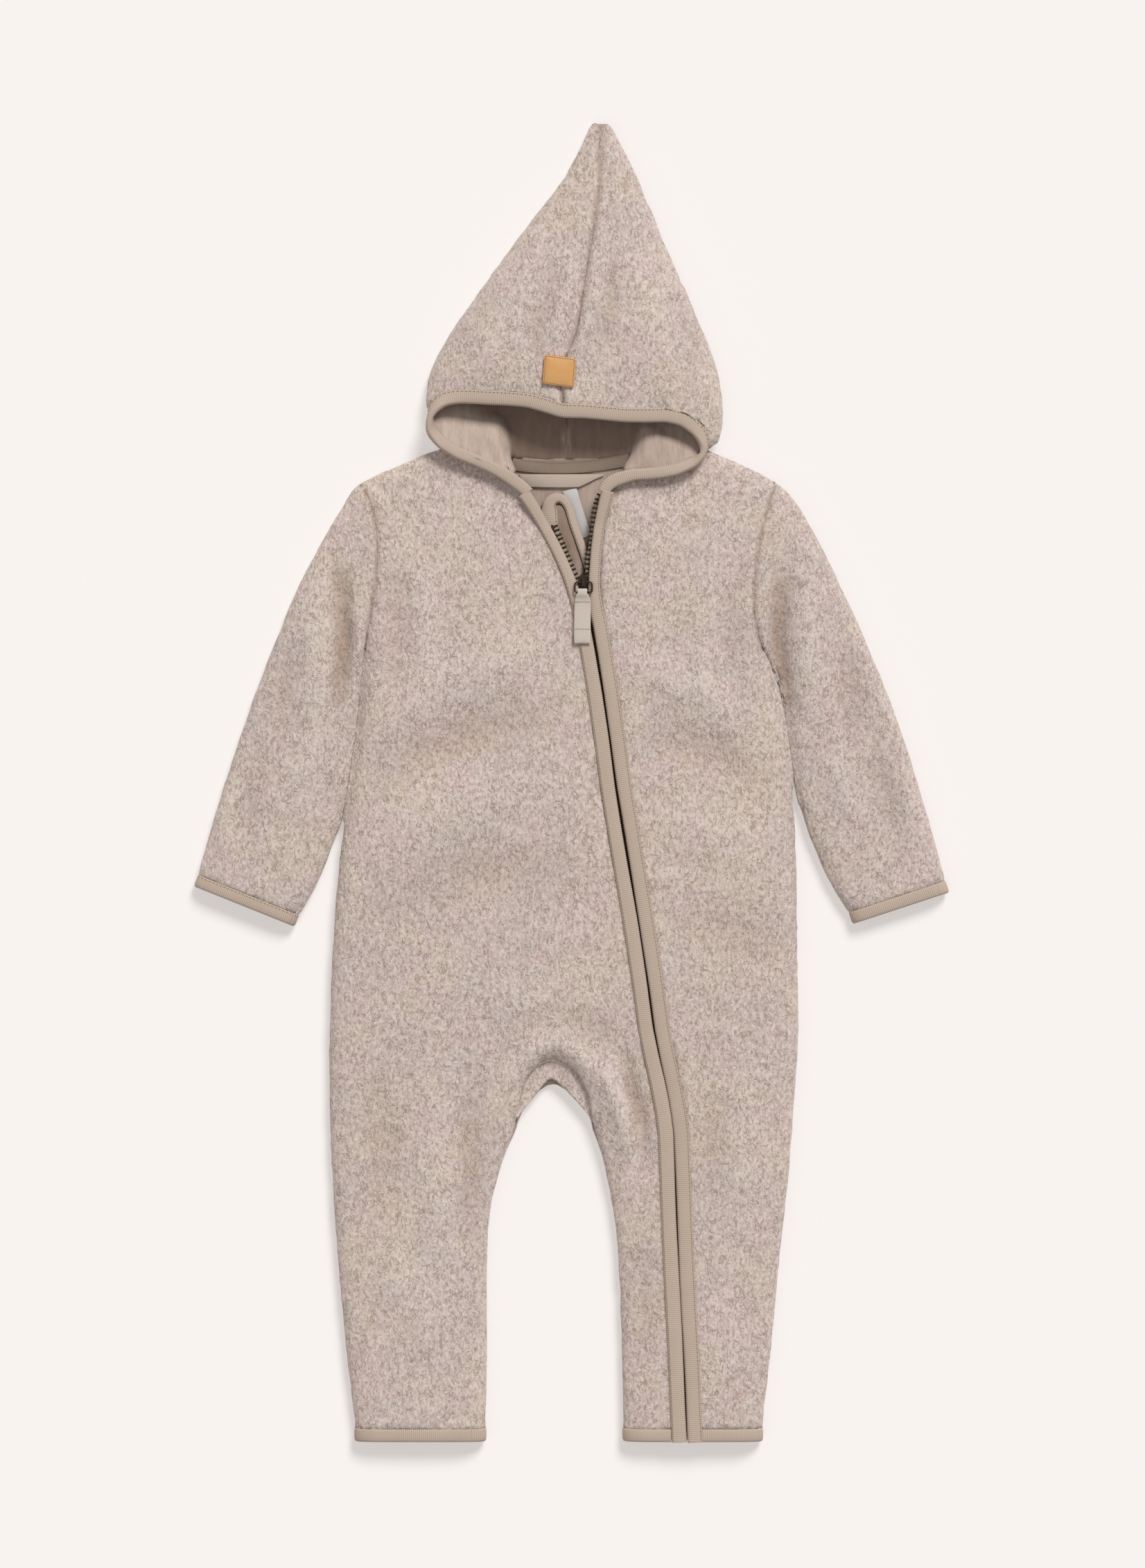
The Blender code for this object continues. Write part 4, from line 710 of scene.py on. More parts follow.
def taper_gusset(item):
    """Draws both ends of the gusset out along the inner leg seams until the legs cover them."""
    data = item.data
    points = read_points(data)
    for x_end, way in ((-39.0, -1), (16.0, 1)):
        for point in points:
            x, y = point[0] / MM, point[1] / MM
            if y < -197 and (x + 11.5) * way > 0:
                t = min((-197 - y) / 10.5, 1.0)
                point[0] = MM * (x + (x_end - x) * t * t * 0.85)
                point[1] = MM * (y - 10.0 * t * t)
    write_points(data, points)


def raise_crotch(item):
    """Draws the back panel's edge at the crotch in under the gusset, which covers it."""
    data = item.data
    points = read_points(data)
    rel = points[:, :2] / MM - (-11.5, -228)
    reach = np.linalg.norm(rel, axis=1)
    turn = np.degrees(np.arctan2(rel[:, 0], rel[:, 1]))
    for start in range(-70, 70, 4):
        part = np.flatnonzero((turn >= start) & (turn < start + 4) & (reach < 90))
        fade = min(1.0, (70 - abs(start + 2)) / 16)
        share = np.clip(1 - (reach[part] - reach[part].min()) / 12, 0, 1) * fade
        points[part, :2] += (MM * 2.2 * share / reach[part])[:, None] * rel[part]
    write_points(data, points)


def close_underarm(item, spot):
    """Draws a piece in towards the corner where the sleeve, the front and the back meet."""
    data = item.data
    points = read_points(data)
    way = np.array(spot) - points[:, :2] / MM
    share = np.exp(-(np.linalg.norm(way, axis=1) / 4.0) ** 2)
    points[:, :2] += MM * 0.75 * share[:, None] * way
    points[:, 2] += MM * 0.5 * share
    write_points(data, points)


def round_tip(item):
    """Fills out the hood's point, which is stuffed with its own seam allowance."""
    data = item.data
    points = read_points(data)
    for point in points:
        x, y = point[0] / MM, point[1] / MM
        if y > 385:
            swell = math.sin(math.pi * min((y - 385) / 36, 1.0)) if y < 403 else 1.0
            point[0] += MM * 2.6 * swell * float(np.clip((x - 21.5) / 5, -1.0, 1.0)) * (x < 21.5)
            point[1] += MM * 2.4 * float(np.clip((y - 405) / 9, 0, 1))
    write_points(data, points)


fleece = {}
fleece["back_panel"] = sew_fleece("back_panel", [], length=6.0)
raise_crotch(fleece["back_panel"])
fleece["crotch_gusset"] = sew_fleece("crotch_gusset", [], length=1.8,
                                     looks=(inside_look, fleece_look))
taper_gusset(fleece["crotch_gusset"])
fleece["front_right"] = sew_fleece("front_right", FRONT_RIGHT_FOLDS,
                                   bend=50)
fleece["front_left"] = sew_fleece("front_left", FRONT_LEFT_FOLDS)
fleece["sleeve_right"] = sew_fleece("sleeve_right", SLEEVE_RIGHT_FOLDS,
                                    length=3.9)
fleece["sleeve_left"] = sew_fleece("sleeve_left", SLEEVE_LEFT_FOLDS,
                                   length=3.9)
fleece["hood_right"] = sew_fleece("hood_right", HOOD_RIGHT_FOLDS,
                                  length=3.5, inner_folds=HOOD_SEAM_RIDGE, shade_at=hood_inside_shade)
fleece["hood_left"] = sew_fleece("hood_left", HOOD_LEFT_FOLDS,
                                 length=3.5, inner_folds=HOOD_SEAM_RIDGE, shade_at=hood_inside_shade)
fleece["underlap"] = sew_fleece("underlap", [], length=3.0,
                                looks=(inside_look, fleece_look),
                                shade_at=underlap_inside_shade)
for node in ("hood_right", "hood_left"):
    round_tip(fleece[node])
for node in ("sleeve_right", "front_right", "back_panel"):
    close_underarm(fleece[node], (-131.6, 85.6))
for node in ("sleeve_left", "front_left", "back_panel"):
    close_underarm(fleece[node], (121.4, 86.0))


# ---- Ribbed bindings ---------------------------------------------------------------------------
# Every raw edge is bound with a strip of beige ribbed knit. The strip wraps over the edge, its
# ribs run across it, and a row of stitches close to its inner side holds both turned edges down.
RIB_PITCH = 1.25
RIB_STEPS = 2                   # rings of the strip to one rib
RIB_DEPTH = 0.12
KNIT_THICK = 0.6
OVER_FLEECE = 0.7               # how far the strip's edges lie over the fleece
HOOD_OVER = 0.7                 # and how much further on the hood
STITCH_PITCH = 2.5
STITCH_LENGTH = 1.7
STITCH_WIDTH = 0.42
STITCH_THICK = 0.34
STITCH_IN = 1.0                 # from the strip's edge to its stitches
RIB_COLOUR = (0.480, 0.378, 0.310)
RIB_SHADE = (0.250, 0.165, 0.118)
THREAD = (0.25, 0.19, 0.11)

rib, rib_in, rib_out = new_group("rib_knit", [("Ribs", 800.0)],
                                 [("Color", "Color"), ("Height", "Float")])
place = rib.nodes.new("ShaderNodeUVMap")
split = rib.nodes.new("ShaderNodeSeparateXYZ")
rib.links.new(place.outputs["UV"], split.inputs["Vector"])
turns = sums(rib, "MULTIPLY", split.outputs["X"], rib_in.outputs["Ribs"])
wave = sums(rib, "COSINE", sums(rib, "MULTIPLY", turns, 2 * math.pi), 0.0)
ridge = ramp(rib, wave, -1.0, 0.6)
solid_place = rib.nodes.new("ShaderNodeTexCoord")
yarn = spots(rib, solid_place.outputs["Object"], 1900.0, 2.0, 0.6)
soft = spots(rib, solid_place.outputs["Object"], 60.0, 2.0)
ground = blend(rib, (0.462, 0.364, 0.290), (0.530, 0.426, 0.346), soft)
ground = blend(rib, ground, (0.61, 0.505, 0.435), sums(rib, "MULTIPLY", yarn, 0.35))
between = sums(rib, "SUBTRACT", 1.0, ridge)
ground = blend(rib, ground, RIB_SHADE, sums(rib, "MULTIPLY", between, 0.34))
rib.links.new(ground, rib_out.inputs["Color"])
rib_height = sums(rib, "ADD", ridge, sums(rib, "MULTIPLY", yarn, 0.3))
rib.links.new(rib_height, rib_out.inputs["Height"])

rib_look, nodes, links, shader = make_material("ribbed_knit", RIB_COLOUR, 0.9, sheen=0.1)
shader.inputs["Specular IOR Level"].default_value = 0.2
surface = nodes.new("ShaderNodeGroup")
surface.node_tree = rib
surface.inputs["Ribs"].default_value = 1 / (RIB_PITCH * MM)
links.new(surface.outputs["Color"], shader.inputs["Base Color"])
raise_bump(nodes, links, shader, surface.outputs["Height"], 0.4, 0.15 * MM)

thread_look, nodes, links, shader = make_material("sewing_thread", THREAD, 0.6)
twist = add(nodes, "TexNoise", Scale=2500.0, Detail=1.0)
tint_between(nodes, links, shader, twist.outputs["Fac"], (0.20, 0.15, 0.09), (0.34, 0.27, 0.18))

cloth_tree = solids_tree(fleece)


def unit(vector):
    return vector / np.linalg.norm(vector)


def open_strip(node, start, ring_size=8):
    """Middle of an open strip's solid and its wide way, ring by ring from the end at start."""
    mesh = merged(node)
    start = Vector(start) * MM
    ring = set(sorted(mesh.verts, key=lambda v: (v.co - start).length)[:ring_size])
    seen = set(ring)
    centres, wides = [], []
    while ring:
        points = np.array(sorted(tuple(v.co) for v in ring)) / MM
        centre = points.mean(axis=0)
        wide = np.linalg.svd(points - centre)[2][0]
        if wides and wide @ wides[-1] < 0:
            wide = -wide
        centres.append(centre)
        wides.append(wide)
        ring = {e.other_vert(v) for v in ring for e in v.link_edges} - seen
        seen |= ring
    mesh.free()
    return np.array(centres), np.array(wides)


def closed_strip(node):
    """Middle of a closed band's solid, once round, and its wide way, which is level."""
    mesh = merged(node)
    points = np.array([v.co for v in mesh.verts])
    middle = points.mean(axis=0)
    across = np.linalg.svd((points - middle)[:, :2])[2][1]
    bmesh.ops.bisect_plane(mesh, geom=[*mesh.verts, *mesh.edges, *mesh.faces],
                           plane_co=middle, plane_no=(*across, 0),
                           clear_inner=True, clear_outer=True)
    loops, seen = [], set()
    for first in mesh.verts:
        if first in seen:
            continue
        loop, vert = [], first
        while vert is not None:
            seen.add(vert)
            loop.append(np.array(vert.co) / MM)
            nexts = [e.other_vert(vert) for e in vert.link_edges]
            vert = next((v for v in nexts if v not in seen), None)
        loops.append(np.array(loop))
    mesh.free()
    loops.sort(key=lambda loop: -np.linalg.norm(np.diff(loop, axis=0), axis=1).sum())
    outer, inner = loops[0], loops[1]
    centres = []
    for point in outer:
        gaps = np.linalg.norm(inner - point, axis=1)
        centres.append((point + inner[gaps.argmin()]) / 2)
    return np.array(centres), np.tile(np.array((*across, 0.0)), (len(centres), 1))


def even_path(centres, wides, step, closed, softness=3.0):
    """The path in even steps with its corners rounded off."""
    if closed:
        centres = np.vstack([centres, centres[:1]])
        wides = np.vstack([wides, wides[:1]])
    lengths = np.linalg.norm(np.diff(centres, axis=0), axis=1)
    places = np.concatenate([[0], np.cumsum(lengths)])
    count = int(round(places[-1] / step))
    targets = np.linspace(0, places[-1], count + 1)
    table = np.hstack([centres, wides])
    table = np.column_stack([np.interp(targets, places, table[:, k]) for k in range(6)])
    reach = max(int(softness / step), 1)
    for _ in range(2):
        if closed:
            body = table[:-1]
            table = sum(np.roll(body, k, axis=0) for k in range(-reach, reach + 1))
            table = table / (2 * reach + 1)
            table = np.vstack([table, table[:1]])
        else:
            head = 2 * table[0] - table[reach:0:-1]
            tail = 2 * table[-1] - table[-2:-reach - 2:-1]
            padded = np.vstack([head, table, tail])
            table = sum(padded[k:k + count + 1] for k in range(2 * reach + 1))
            table = table / (2 * reach + 1)
    return table[:, :3], table[:, 3:], targets


def strip_frames(centres, wides, closed, free_side=True):
    """Across and up at every step. Across points away from the fleece, up away from the table."""
    ahead = np.gradient(centres, axis=0)
    if closed:
        ahead[0] = ahead[-1] = centres[1] - centres[-2]
    ahead /= np.linalg.norm(ahead, axis=1)[:, None]
    across = wides - ahead * np.sum(wides * ahead, axis=1)[:, None]
    across /= np.linalg.norm(across, axis=1)[:, None]
    if free_side:
        votes = 0.0
        for centre, way in zip(centres[::10], across[::10]):
            near = cloth_tree.find_nearest(Vector(centre) * MM)[0]
            votes += way @ unit(np.array(near) / MM - centre)
        if votes > 0:
            across = -across
    up = np.cross(across, ahead)
    if up[len(up) // 2][2] < 0 or closed and up[np.argmax(centres[:, 2])][2] < 0:
        up = -up
    return across, up


def sweep(name, centres, across, up, section, places, closed, swell=None, narrow=None):
    """A sheet carried along the path. The section's points are (across, up). narrow gives the
    share of the width at each step, and the side by the fleece stays where it is."""
    rows, columns = len(centres), len(section)
    mesh = bmesh.new()
    bmesh.ops.create_grid(mesh, x_segments=rows - 1, y_segments=columns - 1, size=1,
                          calc_uvs=False)
    section = np.array(section, float)
    around = np.concatenate([[0], np.cumsum(np.linalg.norm(np.diff(section, axis=0), axis=1))])
    middle = section.mean(axis=0)
    key = {}
    for vert in mesh.verts:
        i = round((vert.co.x + 1) / 2 * (rows - 1))
        j = round((vert.co.y + 1) / 2 * (columns - 1))
        a, b = section[j]
        if swell is not None:
            a, b = middle + (section[j] - middle) * (1 + swell(places[i], j) / 2.2)
        if narrow is not None:
            a = section[0][0] + (a - section[0][0]) * narrow[i]
        vert.co = (centres[i] + across[i] * a + up[i] * b) * MM
        key[vert] = (places[i] * MM, around[j] * MM)
    uv = mesh.loops.layers.uv.new("along")
    for face in mesh.faces:
        for loop in face.loops:
            loop[uv].uv = key[loop.vert]
    if closed:
        bmesh.ops.remove_doubles(mesh, verts=mesh.verts, dist=0.02 * MM)
    data = baked_mesh(mesh, name)
    data.shade_smooth()
    return data


def turn_outward(data, centres):
    """Makes the faces of a swept strip point away from the path."""
    tree = KDTree(len(centres))
    for i, centre in enumerate(centres):
        tree.insert(Vector(centre) * MM, i)
    tree.balance()
    votes = 0.0
    for face in list(data.polygons)[::7]:
        votes += face.normal.dot(face.center - tree.find(face.center)[0])
    if votes < 0:
        data.flip_normals()


def wrapped_section(width, half_thick, over):
    """From the fleece side below, round the free edge, to the fleece side above."""
    w, t = width / 2, half_thick
    low = [(-w - over, -t + 0.25), (-w + 0.6, -t), (-0.4, -t - 0.1), (w - 1.4, -t)]
    bend = [(w - 1.4 + 1.5 * math.cos(a), t * math.sin(a)) for a in
            (math.radians(-50), math.radians(-18), math.radians(18), math.radians(50))]
    return low + bend + [(a, -b) for a, b in low[::-1]]


def stitches(name, centres, across, up, places, side, height):
    """One joined mesh of short stitches along a strip, at a place across it and a height."""
    mesh = bmesh.new()
    ahead = np.gradient(centres, axis=0)
    for place in np.arange(places[0] + 1.5, places[-1] - 1.5, STITCH_PITCH):
        i = int(np.searchsorted(places, place))
        centre = centres[i] + across[i] * side + up[i] * height
        way = unit(ahead[i])
        made = bmesh.ops.create_cube(mesh, size=1.0)["verts"]
        for vert in made:
            x, y, z = vert.co
            point = centre + way * x * STITCH_LENGTH + across[i] * y * STITCH_WIDTH
            vert.co = (point + up[i] * z * STITCH_THICK) * MM
    bmesh.ops.recalc_face_normals(mesh, faces=mesh.faces)
    item = link_object(name, baked_mesh(mesh, name), thread_look)
    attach(item, "suit")
    return item


def band_share(node, centre, place):
    """The share of a binding's width that is seen: less where it turns on edge. The underlap's
    strip lies open and wide at its upper end."""
    x, y, _ = centre
    if node == "underlap_binding":
        return 1.0 + 0.95 * float(np.clip((30 - place) / 14, 0, 1))
    if not node.startswith(("hood", "zip")):
        return 1.0
    along_v = np.clip((y - 108) / 30, 0, 1) * np.clip((187 - y) / 22, 0, 1)
    cheek = np.clip((abs(x + 3) - 30) / 14, 0, 1) * np.clip((226 - y) / 12, 0, 1) * (y > 183)
    along_zip = (y < 120) * (0.095 + 0.055 * np.clip((-60 - y) / 160, 0, 1)
                             + 0.02 * math.sin(y / 19))
    if node == "hood_binding":
        along_v = 1.1 * np.clip((193 - y) / 9, 0, 1)
    return 0.94 - 0.16 * along_v - 0.18 * cheek + along_zip


def band_shift(node, centre, place):
    """How far a binding lies off its solid's middle, towards its free side, in millimetres."""
    y = centre[1]
    if node == "underlap_binding":
        return -4.2 * float(np.clip((30 - place) / 14, 0, 1))
    if node == "zip_binding_left":
        return 1.7 * float(np.clip((y - 100) / 25, 0, 1) * np.clip((182 - y) / 20, 0, 1))
    if node == "zip_binding_right":
        return 1.0 * float(np.clip((y - 118) / 20, 0, 1) * np.clip((178 - y) / 20, 0, 1))
    return 0.0


def bind_edge(node, width, half_thick, start=None):
    """One binding with its stitches."""
    closed = start is None
    centres, wides = closed_strip(node) if closed else open_strip(node, start)
    if node == "underlap_binding":
        further = centres[0] + unit(centres[0] - centres[2]) * 9
        centres, wides = np.vstack([further, centres]), np.vstack([wides[:1], wides])
    if node.startswith("zip"):
        centres[0] += unit(centres[0] - centres[1]) * 1.8
    step = RIB_PITCH / RIB_STEPS
    centres, wides, places = even_path(centres, wides, step, closed)
    across, up = strip_frames(centres, wides, closed)
    over = OVER_FLEECE + HOOD_OVER * (node == "hood_binding")
    section = wrapped_section(width, half_thick, over)

    def ribs(place, j):
        return RIB_DEPTH * math.cos(2 * math.pi * place / RIB_PITCH)

    narrow = np.array([band_share(node, c, place) for c, place in zip(centres, places)])
    narrow = np.convolve(np.pad(narrow, 8, "edge"), np.ones(17) / 17, "valid")
    shift = np.array([band_shift(node, c, place) for c, place in zip(centres, places)])
    centres = centres + across * shift[:, None]
    data = sweep("binding_" + node, centres, across, up, section, places, closed, ribs, narrow)
    turn_outward(data, centres)
    for vert in data.vertices:
        vert.co.z = max(vert.co.z, 0.0)
    item = link_object("binding_" + node, data, rib_look)
    wall = item.modifiers.new("wall", "SOLIDIFY")
    wall.thickness = KNIT_THICK * MM
    wall.offset = -1
    edge = -width / 2 - over + STITCH_IN
    sewn = [stitches(node + "_stitches", centres, across, up, places, edge, half_thick - 0.05)]
    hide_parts(node)
    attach(item, "suit")
    return centres, across, up, places


bind_edge("hood_binding", 8.0, 2.0, (-28.9, 183.2, 16.2))
bind_edge("zip_binding_right", 8.0, 2.0, (-28.9, 183.2, 16.2))
bind_edge("zip_binding_left", 8.0, 2.0, (21.6, 183.9, 16.2))
bind_edge("cuff_binding_right", 7.0, 1.45)
bind_edge("cuff_binding_left", 7.0, 1.45)
bind_edge("hem_binding_right", 7.5, 1.65)
bind_edge("hem_binding_left", 7.5, 1.65, (82.0, -414.0, 12.5))
bind_edge("underlap_binding", 4.6, 1.3, (-16.2, 168.5, 5.6))


# ---- Zip ---------------------------------------------------------------------------------------
# A number 5 moulded zip in dark bronze on a beige woven tape. It is closed up to the slider, its
# two rows meshed half a pitch apart, and above it the rows part to the corners of the neck.
TEETH_PITCH = 3.0
CLOSED_TOP = 124.0
ZIP_FOOT = -416.0
TOOTH_ACROSS = 2.7
OPEN_LONGER = 0.9               # by how much more of a tooth shows where the rows part
TOOTH_ALONG = 1.35
CLAMP_ALONG = 2.5               # the foot of a tooth, which grips the tape
TOOTH_THICK = 2.3
TAPE_WIDE = 8.0
ROW_APART = 1.15                # from the zip's line to the middle of each closed row
ZIP_LINE = [(-418, 73.2), (-361, 70.8), (-305, 67.8), (-250, 65.6), (-218, 64.2), (-199, 61.2),
            (-160, 52.8), (-115, 46.6), (-59, 37.4), (-9, 29.0), (40, 22.4), (83, 15.6),
            (110, 10.6), (124, 8.4)]
V_LINE = {"right": [(124, 6.0), (130.5, 3.4), (147.6, -3.7), (166.0, -11.2)],
          "left": [(124, 9.5), (131.8, 8.9), (159, 12.3), (182.0, 16.6), (186, 18.4)]}

bronze_look, nodes, links, shader = make_material("dark_bronze", (0.055, 0.042, 0.032), 0.38, 0.85)
worn = add(nodes, "TexNoise", Scale=900.0, Detail=3.0)
span = add(nodes, "MapRange")
span.inputs["From Min"].default_value = 0.45
span.inputs["From Max"].default_value = 0.75
links.new(worn.outputs["Fac"], span.inputs["Value"])
tint_between(nodes, links, shader, span.outputs["Result"], (0.040, 0.030, 0.023),
             (0.150, 0.110, 0.075))
span = add(nodes, "MapRange")
span.inputs["To Min"].default_value = 0.30
span.inputs["To Max"].default_value = 0.52
links.new(worn.outputs["Fac"], span.inputs["Value"])
links.new(span.outputs["Result"], shader.inputs["Roughness"])


def woven_look(name, colour, dark, threads, roughness=0.85, slant=0.5):
    """A twill weave: fine slanting ribs of thread in the strip's own coordinates."""
    material, nodes, links, shader = make_material(name, colour, roughness)
    shader.inputs["Specular IOR Level"].default_value = 0.25
    place = nodes.new("ShaderNodeTexCoord")
    tilt = add(nodes, "Mapping")
    tilt.inputs["Rotation"].default_value = (0, 0, slant)
    weave = add(nodes, "TexWave", Scale=threads, Distortion=1.2, Detail=1.0)
    weave.inputs["Detail Scale"].default_value = 2.0
    grain = add(nodes, "TexNoise", Scale=1400.0, Detail=2.0)
    links.new(place.outputs["Object"], tilt.inputs["Vector"])
    links.new(tilt.outputs["Vector"], weave.inputs["Vector"])
    links.new(place.outputs["Object"], grain.inputs["Vector"])
    both = add(nodes, "Math", operation="MULTIPLY")
    links.new(weave.outputs["Fac"], both.inputs[0])
    links.new(grain.outputs["Fac"], both.inputs[1])
    span = add(nodes, "MapRange")
    span.inputs["From Min"].default_value = 0.05
    span.inputs["From Max"].default_value = 0.45
    links.new(both.outputs["Value"], span.inputs["Value"])
    tint_between(nodes, links, shader, span.outputs["Result"], dark, colour)
    raise_bump(nodes, links, shader, both.outputs["Value"], 0.4, 0.12 * MM)
    return material


tape_look = woven_look("zip_tape", (0.42, 0.34, 0.255), (0.27, 0.21, 0.15), 900.0)


def table_curve(table):
    """A smooth function through a table of (height up the suit, place across)."""
    at, value = np.array(sorted(table), float).T
    slope = np.gradient(value, at)

    def curve(y):
        y = min(max(y, at[0]), at[-1])
        i = min(max(int(np.searchsorted(at, y)) - 1, 0), len(at) - 2)
        h = at[i + 1] - at[i]
        t = (y - at[i]) / h
        return (value[i] * (1 + 2 * t) * (1 - t) ** 2 + value[i + 1] * t * t * (3 - 2 * t)
                + slope[i] * h * t * (1 - t) ** 2 - slope[i + 1] * h * t * t * (1 - t))
    return curve


def chain_path(word, side):
    """Where one row of teeth runs, from the hem to its top stop, in even steps."""
    y, x = V_LINE[word][-1]
    centres, _ = open_strip("zip_" + word, (x, y, 12.0))
    height = table_curve([(c[1], c[2]) for c in centres[::-1]])
    closed, parted = table_curve(ZIP_LINE), table_curve(V_LINE[word])
    points = []
    for y in np.arange(ZIP_FOOT, V_LINE[word][-1][0], 0.5):
        x = closed(y) + side * ROW_APART if y < CLOSED_TOP - 4 else parted(y)
        points.append((x, y, height(y) + 0.35))
    points = np.array(points)
    lengths = np.concatenate([[0], np.cumsum(np.linalg.norm(np.diff(points, axis=0), axis=1))])
    return points, lengths


def zip_side(word, side):
    """One tape with its row of teeth."""
    points, lengths = chain_path(word, side)
    mesh = bmesh.new()
    start = TEETH_PITCH / 2 if side > 0 else 0.0
    for place in np.arange(start + 1.0, lengths[-1], TEETH_PITCH):
        i = int(np.searchsorted(lengths, place))
        way = unit(points[min(i + 2, len(points) - 1)] - points[max(i - 2, 0)])
        across = unit(np.cross(way, (0, 0, 1))) * side
        up = np.cross(across, way) * side
        long = TOOTH_ACROSS + OPEN_LONGER * (points[i][1] > CLOSED_TOP)
        head = (0.25, long, TOOTH_ALONG, TOOTH_THICK)
        foot = (0.25 + long / 2, 1.1, CLAMP_ALONG, TOOTH_THICK + 0.3)
        for middle, width, along, thick in (head, foot):
            tooth = bmesh.ops.create_cube(mesh, size=1.0)["verts"]
            for vert in tooth:
                x, y, z = vert.co
                narrow = 1.0 if x > 0 else 0.8
                offset = across * (x * width + middle) + way * y * along * narrow
                vert.co = (points[i] + offset + up * z * thick) * MM
    bmesh.ops.bevel(mesh, geom=list(mesh.edges), offset=0.28 * MM, affect="EDGES", segments=1,
                    profile=0.5, material=-1)
    bmesh.ops.recalc_face_normals(mesh, faces=mesh.faces)
    teeth = link_object("zip_teeth_" + word, baked_mesh(mesh, "zip_teeth_" + word), bronze_look)
    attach(teeth, "suit")

    centres = points[::4]
    ahead = np.gradient(centres, axis=0)
    ahead /= np.linalg.norm(ahead, axis=1)[:, None]
    across = np.cross(ahead, (0, 0, 1)) * side
    across /= np.linalg.norm(across, axis=1)[:, None]
    up = np.cross(across, ahead) * side
    section = [(-0.3, 0.42), (0.9, 0.48), (3.5, 0.40), (TAPE_WIDE - 1, 0.40), (TAPE_WIDE, 0.30),
               (TAPE_WIDE, -0.30), (TAPE_WIDE - 1, -0.40), (3.5, -0.40), (0.9, -0.48),
               (-0.3, -0.42), (-0.3, 0.42)]
    data = sweep("zip_tape_" + word, centres, across, up, section, lengths[::4], False)
    body = bmesh.new()
    body.from_mesh(data)
    bmesh.ops.remove_doubles(body, verts=body.verts, dist=0.01 * MM)
    bmesh.ops.holes_fill(body, edges=body.edges, sides=0)
    bmesh.ops.recalc_face_normals(body, faces=body.faces)
    body.to_mesh(data)
    body.free()
    tape = link_object("zip_tape_" + word, data, tape_look)
    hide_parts("zip_" + word)
    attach(tape, "suit")


zip_side("right", -1)
zip_side("left", 1)

# ---- Slider and pull tab -----------------------------------------------------------------------
# The slider is cast bronze. A bent wire link turns in its bridge, and a folded twill tape, sewn
# across twice, hangs from the link.
for node in ("zip_slider", "puller_ring"):
    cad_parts[node].data.materials.clear()
    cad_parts[node].data.materials.append(bronze_look)

twill_look = woven_look("twill_tape", (0.655, 0.580, 0.515), (0.50, 0.43, 0.37), 1500.0, slant=0.6)
PULL_STITCHES = (115.1, 97.9)


def finer(node, name, levels=2):
    """A CAD node's mesh with its faces rounded."""
    mesh = merged(node)
    bmesh.ops.join_triangles(mesh, faces=mesh.faces, angle_face_threshold=0.2,
                             angle_shape_threshold=0.6)
    item = link_object(name, baked_mesh(mesh, name))
    step = item.modifiers.new("round", "SUBSURF")
    step.levels = levels
    step.render_levels = levels
    item.data = applied(item)
    return item


def short_stitches(name, ends, count, look, body, thick=0.4):
    """A row of stitches from one end to the other, both in millimetres."""
    start, end = (np.array(point, float) for point in ends)
    way = (end - start) / count
    ahead = unit(way)
    side = unit(np.cross(ahead, (0, 0, 1)))
    up = np.cross(side, ahead)
    mesh = bmesh.new()
    for k in range(count):
        centre = start + way * (k + 0.5)
        made = bmesh.ops.create_cube(mesh, size=1.0)["verts"]
        length = np.linalg.norm(way) * 0.68
        for vert in made:
            x, y, z = vert.co
            vert.co = (centre + ahead * x * length + side * y * thick + up * z * thick * 0.7) * MM
    bmesh.ops.recalc_face_normals(mesh, faces=mesh.faces)
    item = link_object(name, baked_mesh(mesh, name), look)
    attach(item, body)
    return item


tab = finer("pull_tab", "pull_tab_twill")
tab.data.shade_smooth()
tab.data.materials.clear()
tab.data.materials.append(twill_look)
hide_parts("pull_tab")
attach(tab, "puller")


def mesh_tree(data):
    return BVHTree.FromPolygons([v.co for v in data.vertices],
                                [list(p.vertices) for p in data.polygons])


def top_of(tree, x, y):
    """Height of a piece's upper side at a place, in millimetres."""
    hit = tree.ray_cast(Vector((x * MM, y * MM, 0.1)), Vector((0, 0, -1)))[0]
    return hit.z / MM


tab_tree = mesh_tree(tab.data)
for k, y in enumerate(PULL_STITCHES):
    z = top_of(tab_tree, 6.7, y)
    short_stitches(f"pull_tab_stitches_{k + 1}", [(2.1, y, z), (11.3, y, z)], 6,
                               thread_look, "puller")

# ---- Inside the neck ---------------------------------------------------------------------------
# The neck seam is covered with a flat woven tape, stitched along both edges. A loop to hang the
# suit by is folded from the same tape, and a white satin label, left bare, is caught under it.
# The neck tape is the hanger loop's tape made darker: painted shade for its place deep inside the
# hood.
neck_tape_shaded_look = woven_look("neck_tape", (0.335, 0.258, 0.205), (0.23, 0.170, 0.130), 700.0, slant=0.0)
loop_look = woven_look("loop_tape", (0.545, 0.452, 0.378), (0.43, 0.352, 0.290), 800.0, slant=1.57)
satin_look, nodes, links, shader = make_material("white_satin", (0.51, 0.485, 0.485), 0.42)
place = nodes.new("ShaderNodeTexCoord")
weft = add(nodes, "TexWave", Scale=900.0, Distortion=0.6)
links.new(place.outputs["Object"], weft.inputs["Vector"])
tint_between(nodes, links, shader, weft.outputs["Fac"], (0.475, 0.445, 0.435),
             (0.555, 0.525, 0.515))
raise_bump(nodes, links, shader, weft.outputs["Fac"], 0.25, 0.05 * MM)
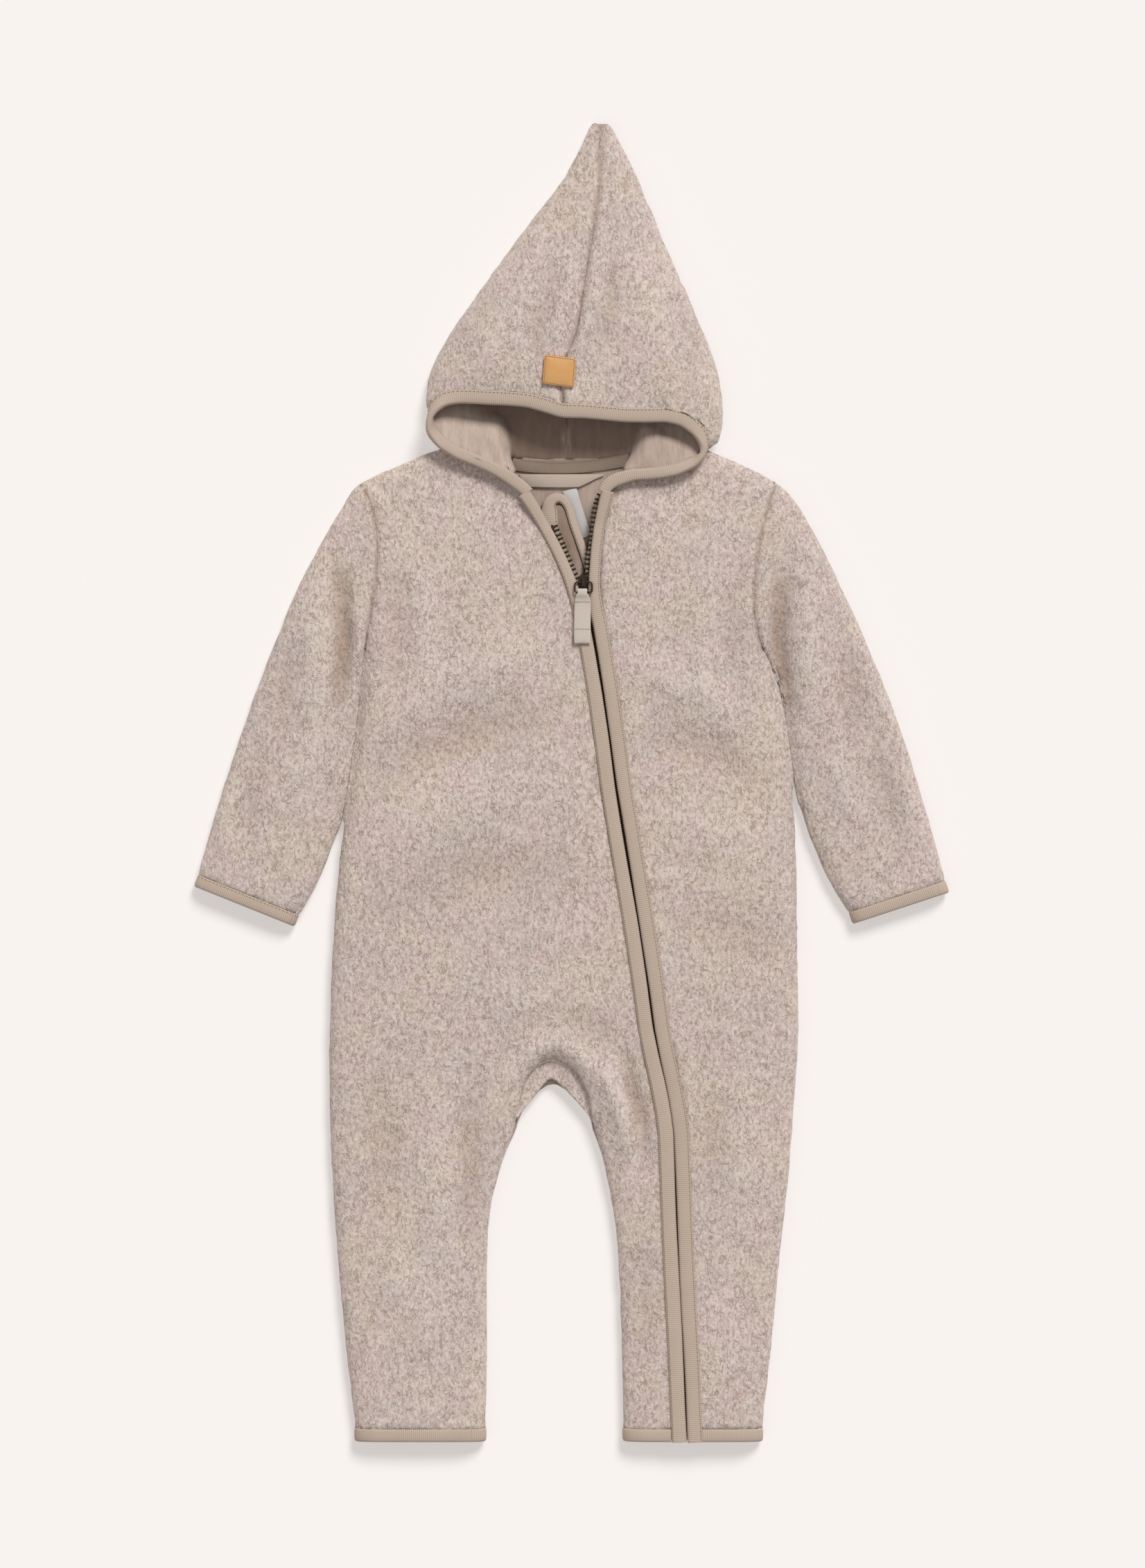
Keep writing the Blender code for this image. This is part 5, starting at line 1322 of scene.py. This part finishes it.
for node, name, look, slot in (("neck_tape", "neck_tape_woven", neck_tape_shaded_look, "ribbed_binding"),
                               ("hanger_loop", "hanger_loop_woven", loop_look, "ribbed_binding"),
                               ("care_label", "care_label_satin", satin_look, "satin")):
    mesh = merged(node)
    bmesh.ops.join_triangles(mesh, faces=mesh.faces, angle_face_threshold=0.3,
                             angle_shape_threshold=1.0)
    bmesh.ops.bevel(mesh, geom=[e for e in mesh.edges if e.calc_face_angle(0) > 1.2],
                    offset=0.2 * MM, affect="EDGES", segments=2, profile=0.5, material=-1)
    if node == "neck_tape":
        for vert in mesh.verts:
            vert.co.x += (vert.co.x + 2 * MM) * 0.13
    data = baked_mesh(mesh, name)
    data.shade_smooth()
    item = link_object(name, data, look)
    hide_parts(node)
    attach(item, "suit")
centres, wides = open_strip("neck_tape", (-34.0, 203.4, 3.3), 4)
centres, wides, places = even_path(centres, wides, 0.6, False)
across, up = strip_frames(centres, wides, False, free_side=False)
for k, side in enumerate((-2.9, 2.9)):
    stitches(f"neck_tape_stitches_{k + 1}", centres, across, up, places, side, 0.5)

# ---- Leather patch -----------------------------------------------------------------------------
# A square of smooth tan leather, its corners rounded and its face bare, sewn to the hood all
# round with brown thread just inside its edge.
PATCH_CORNERS = [(-17.2, 271.3), (2.6, 268.6), (1.3, 250.1), (-18.5, 252.8)]
PATCH_STITCHES = 11
PATCH_INSET = 0.09
patch_look, nodes, links, shader = make_material("tan_leather", (0.66, 0.345, 0.125), 0.5)
shader.inputs["Specular IOR Level"].default_value = 0.4
place = nodes.new("ShaderNodeTexCoord")
grain = add(nodes, "TexVoronoi", Scale=1700.0)
tone = add(nodes, "TexNoise", Scale=120.0, Detail=4.0)
for texture in (grain, tone):
    links.new(place.outputs["Object"], texture.inputs["Vector"])
tint_between(nodes, links, shader, tone.outputs["Fac"], (0.555, 0.270, 0.086),
             (0.680, 0.370, 0.145))
span = add(nodes, "MapRange")
span.inputs["To Min"].default_value = 0.42
span.inputs["To Max"].default_value = 0.62
links.new(tone.outputs["Fac"], span.inputs["Value"])
links.new(span.outputs["Result"], shader.inputs["Roughness"])
raise_bump(nodes, links, shader, grain.outputs["Distance"], 0.3, 0.08 * MM)
patch_thread, nodes, links, shader = make_material("brown_thread", (0.20, 0.095, 0.035), 0.6)
twist = add(nodes, "TexNoise", Scale=2500.0)
tint_between(nodes, links, shader, twist.outputs["Fac"], (0.14, 0.06, 0.02), (0.30, 0.15, 0.06))

mesh = merged("hood_patch")
bmesh.ops.join_triangles(mesh, faces=mesh.faces, angle_face_threshold=0.3,
                         angle_shape_threshold=1.0)
upright = []
for edge in mesh.edges:
    way = (edge.verts[0].co - edge.verts[1].co).normalized()
    corner = all(any((v.co.xy / MM - Vector(c)).length < 1.0 for c in PATCH_CORNERS)
                 for v in edge.verts)
    if abs(way.z) > 0.8 and corner:
        upright.append(edge)
bmesh.ops.bevel(mesh, geom=upright, offset=1.3 * MM, affect="EDGES", segments=4, profile=0.5,
                material=-1)
bmesh.ops.bevel(mesh, geom=[e for e in mesh.edges if e.calc_face_angle(0) > 1.0],
                offset=0.3 * MM, affect="EDGES", segments=2, profile=0.5, material=-1)
data = baked_mesh(mesh, "hood_patch_leather")
data.shade_smooth()
patch = link_object("hood_patch_leather", data, patch_look)
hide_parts("hood_patch")
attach(patch, "suit")
patch_tree = mesh_tree(data)
middle = np.mean(PATCH_CORNERS, axis=0)
for k in range(4):
    ends = []
    for corner in (PATCH_CORNERS[k], PATCH_CORNERS[(k + 1) % 4]):
        x, y = middle + (np.array(corner) - middle) * (1 - PATCH_INSET)
        ends.append((x, y, top_of(patch_tree, x, y)))
    short_stitches(f"hood_patch_stitches_{k + 1}", ends, PATCH_STITCHES, patch_thread,
                               "suit", 0.36)
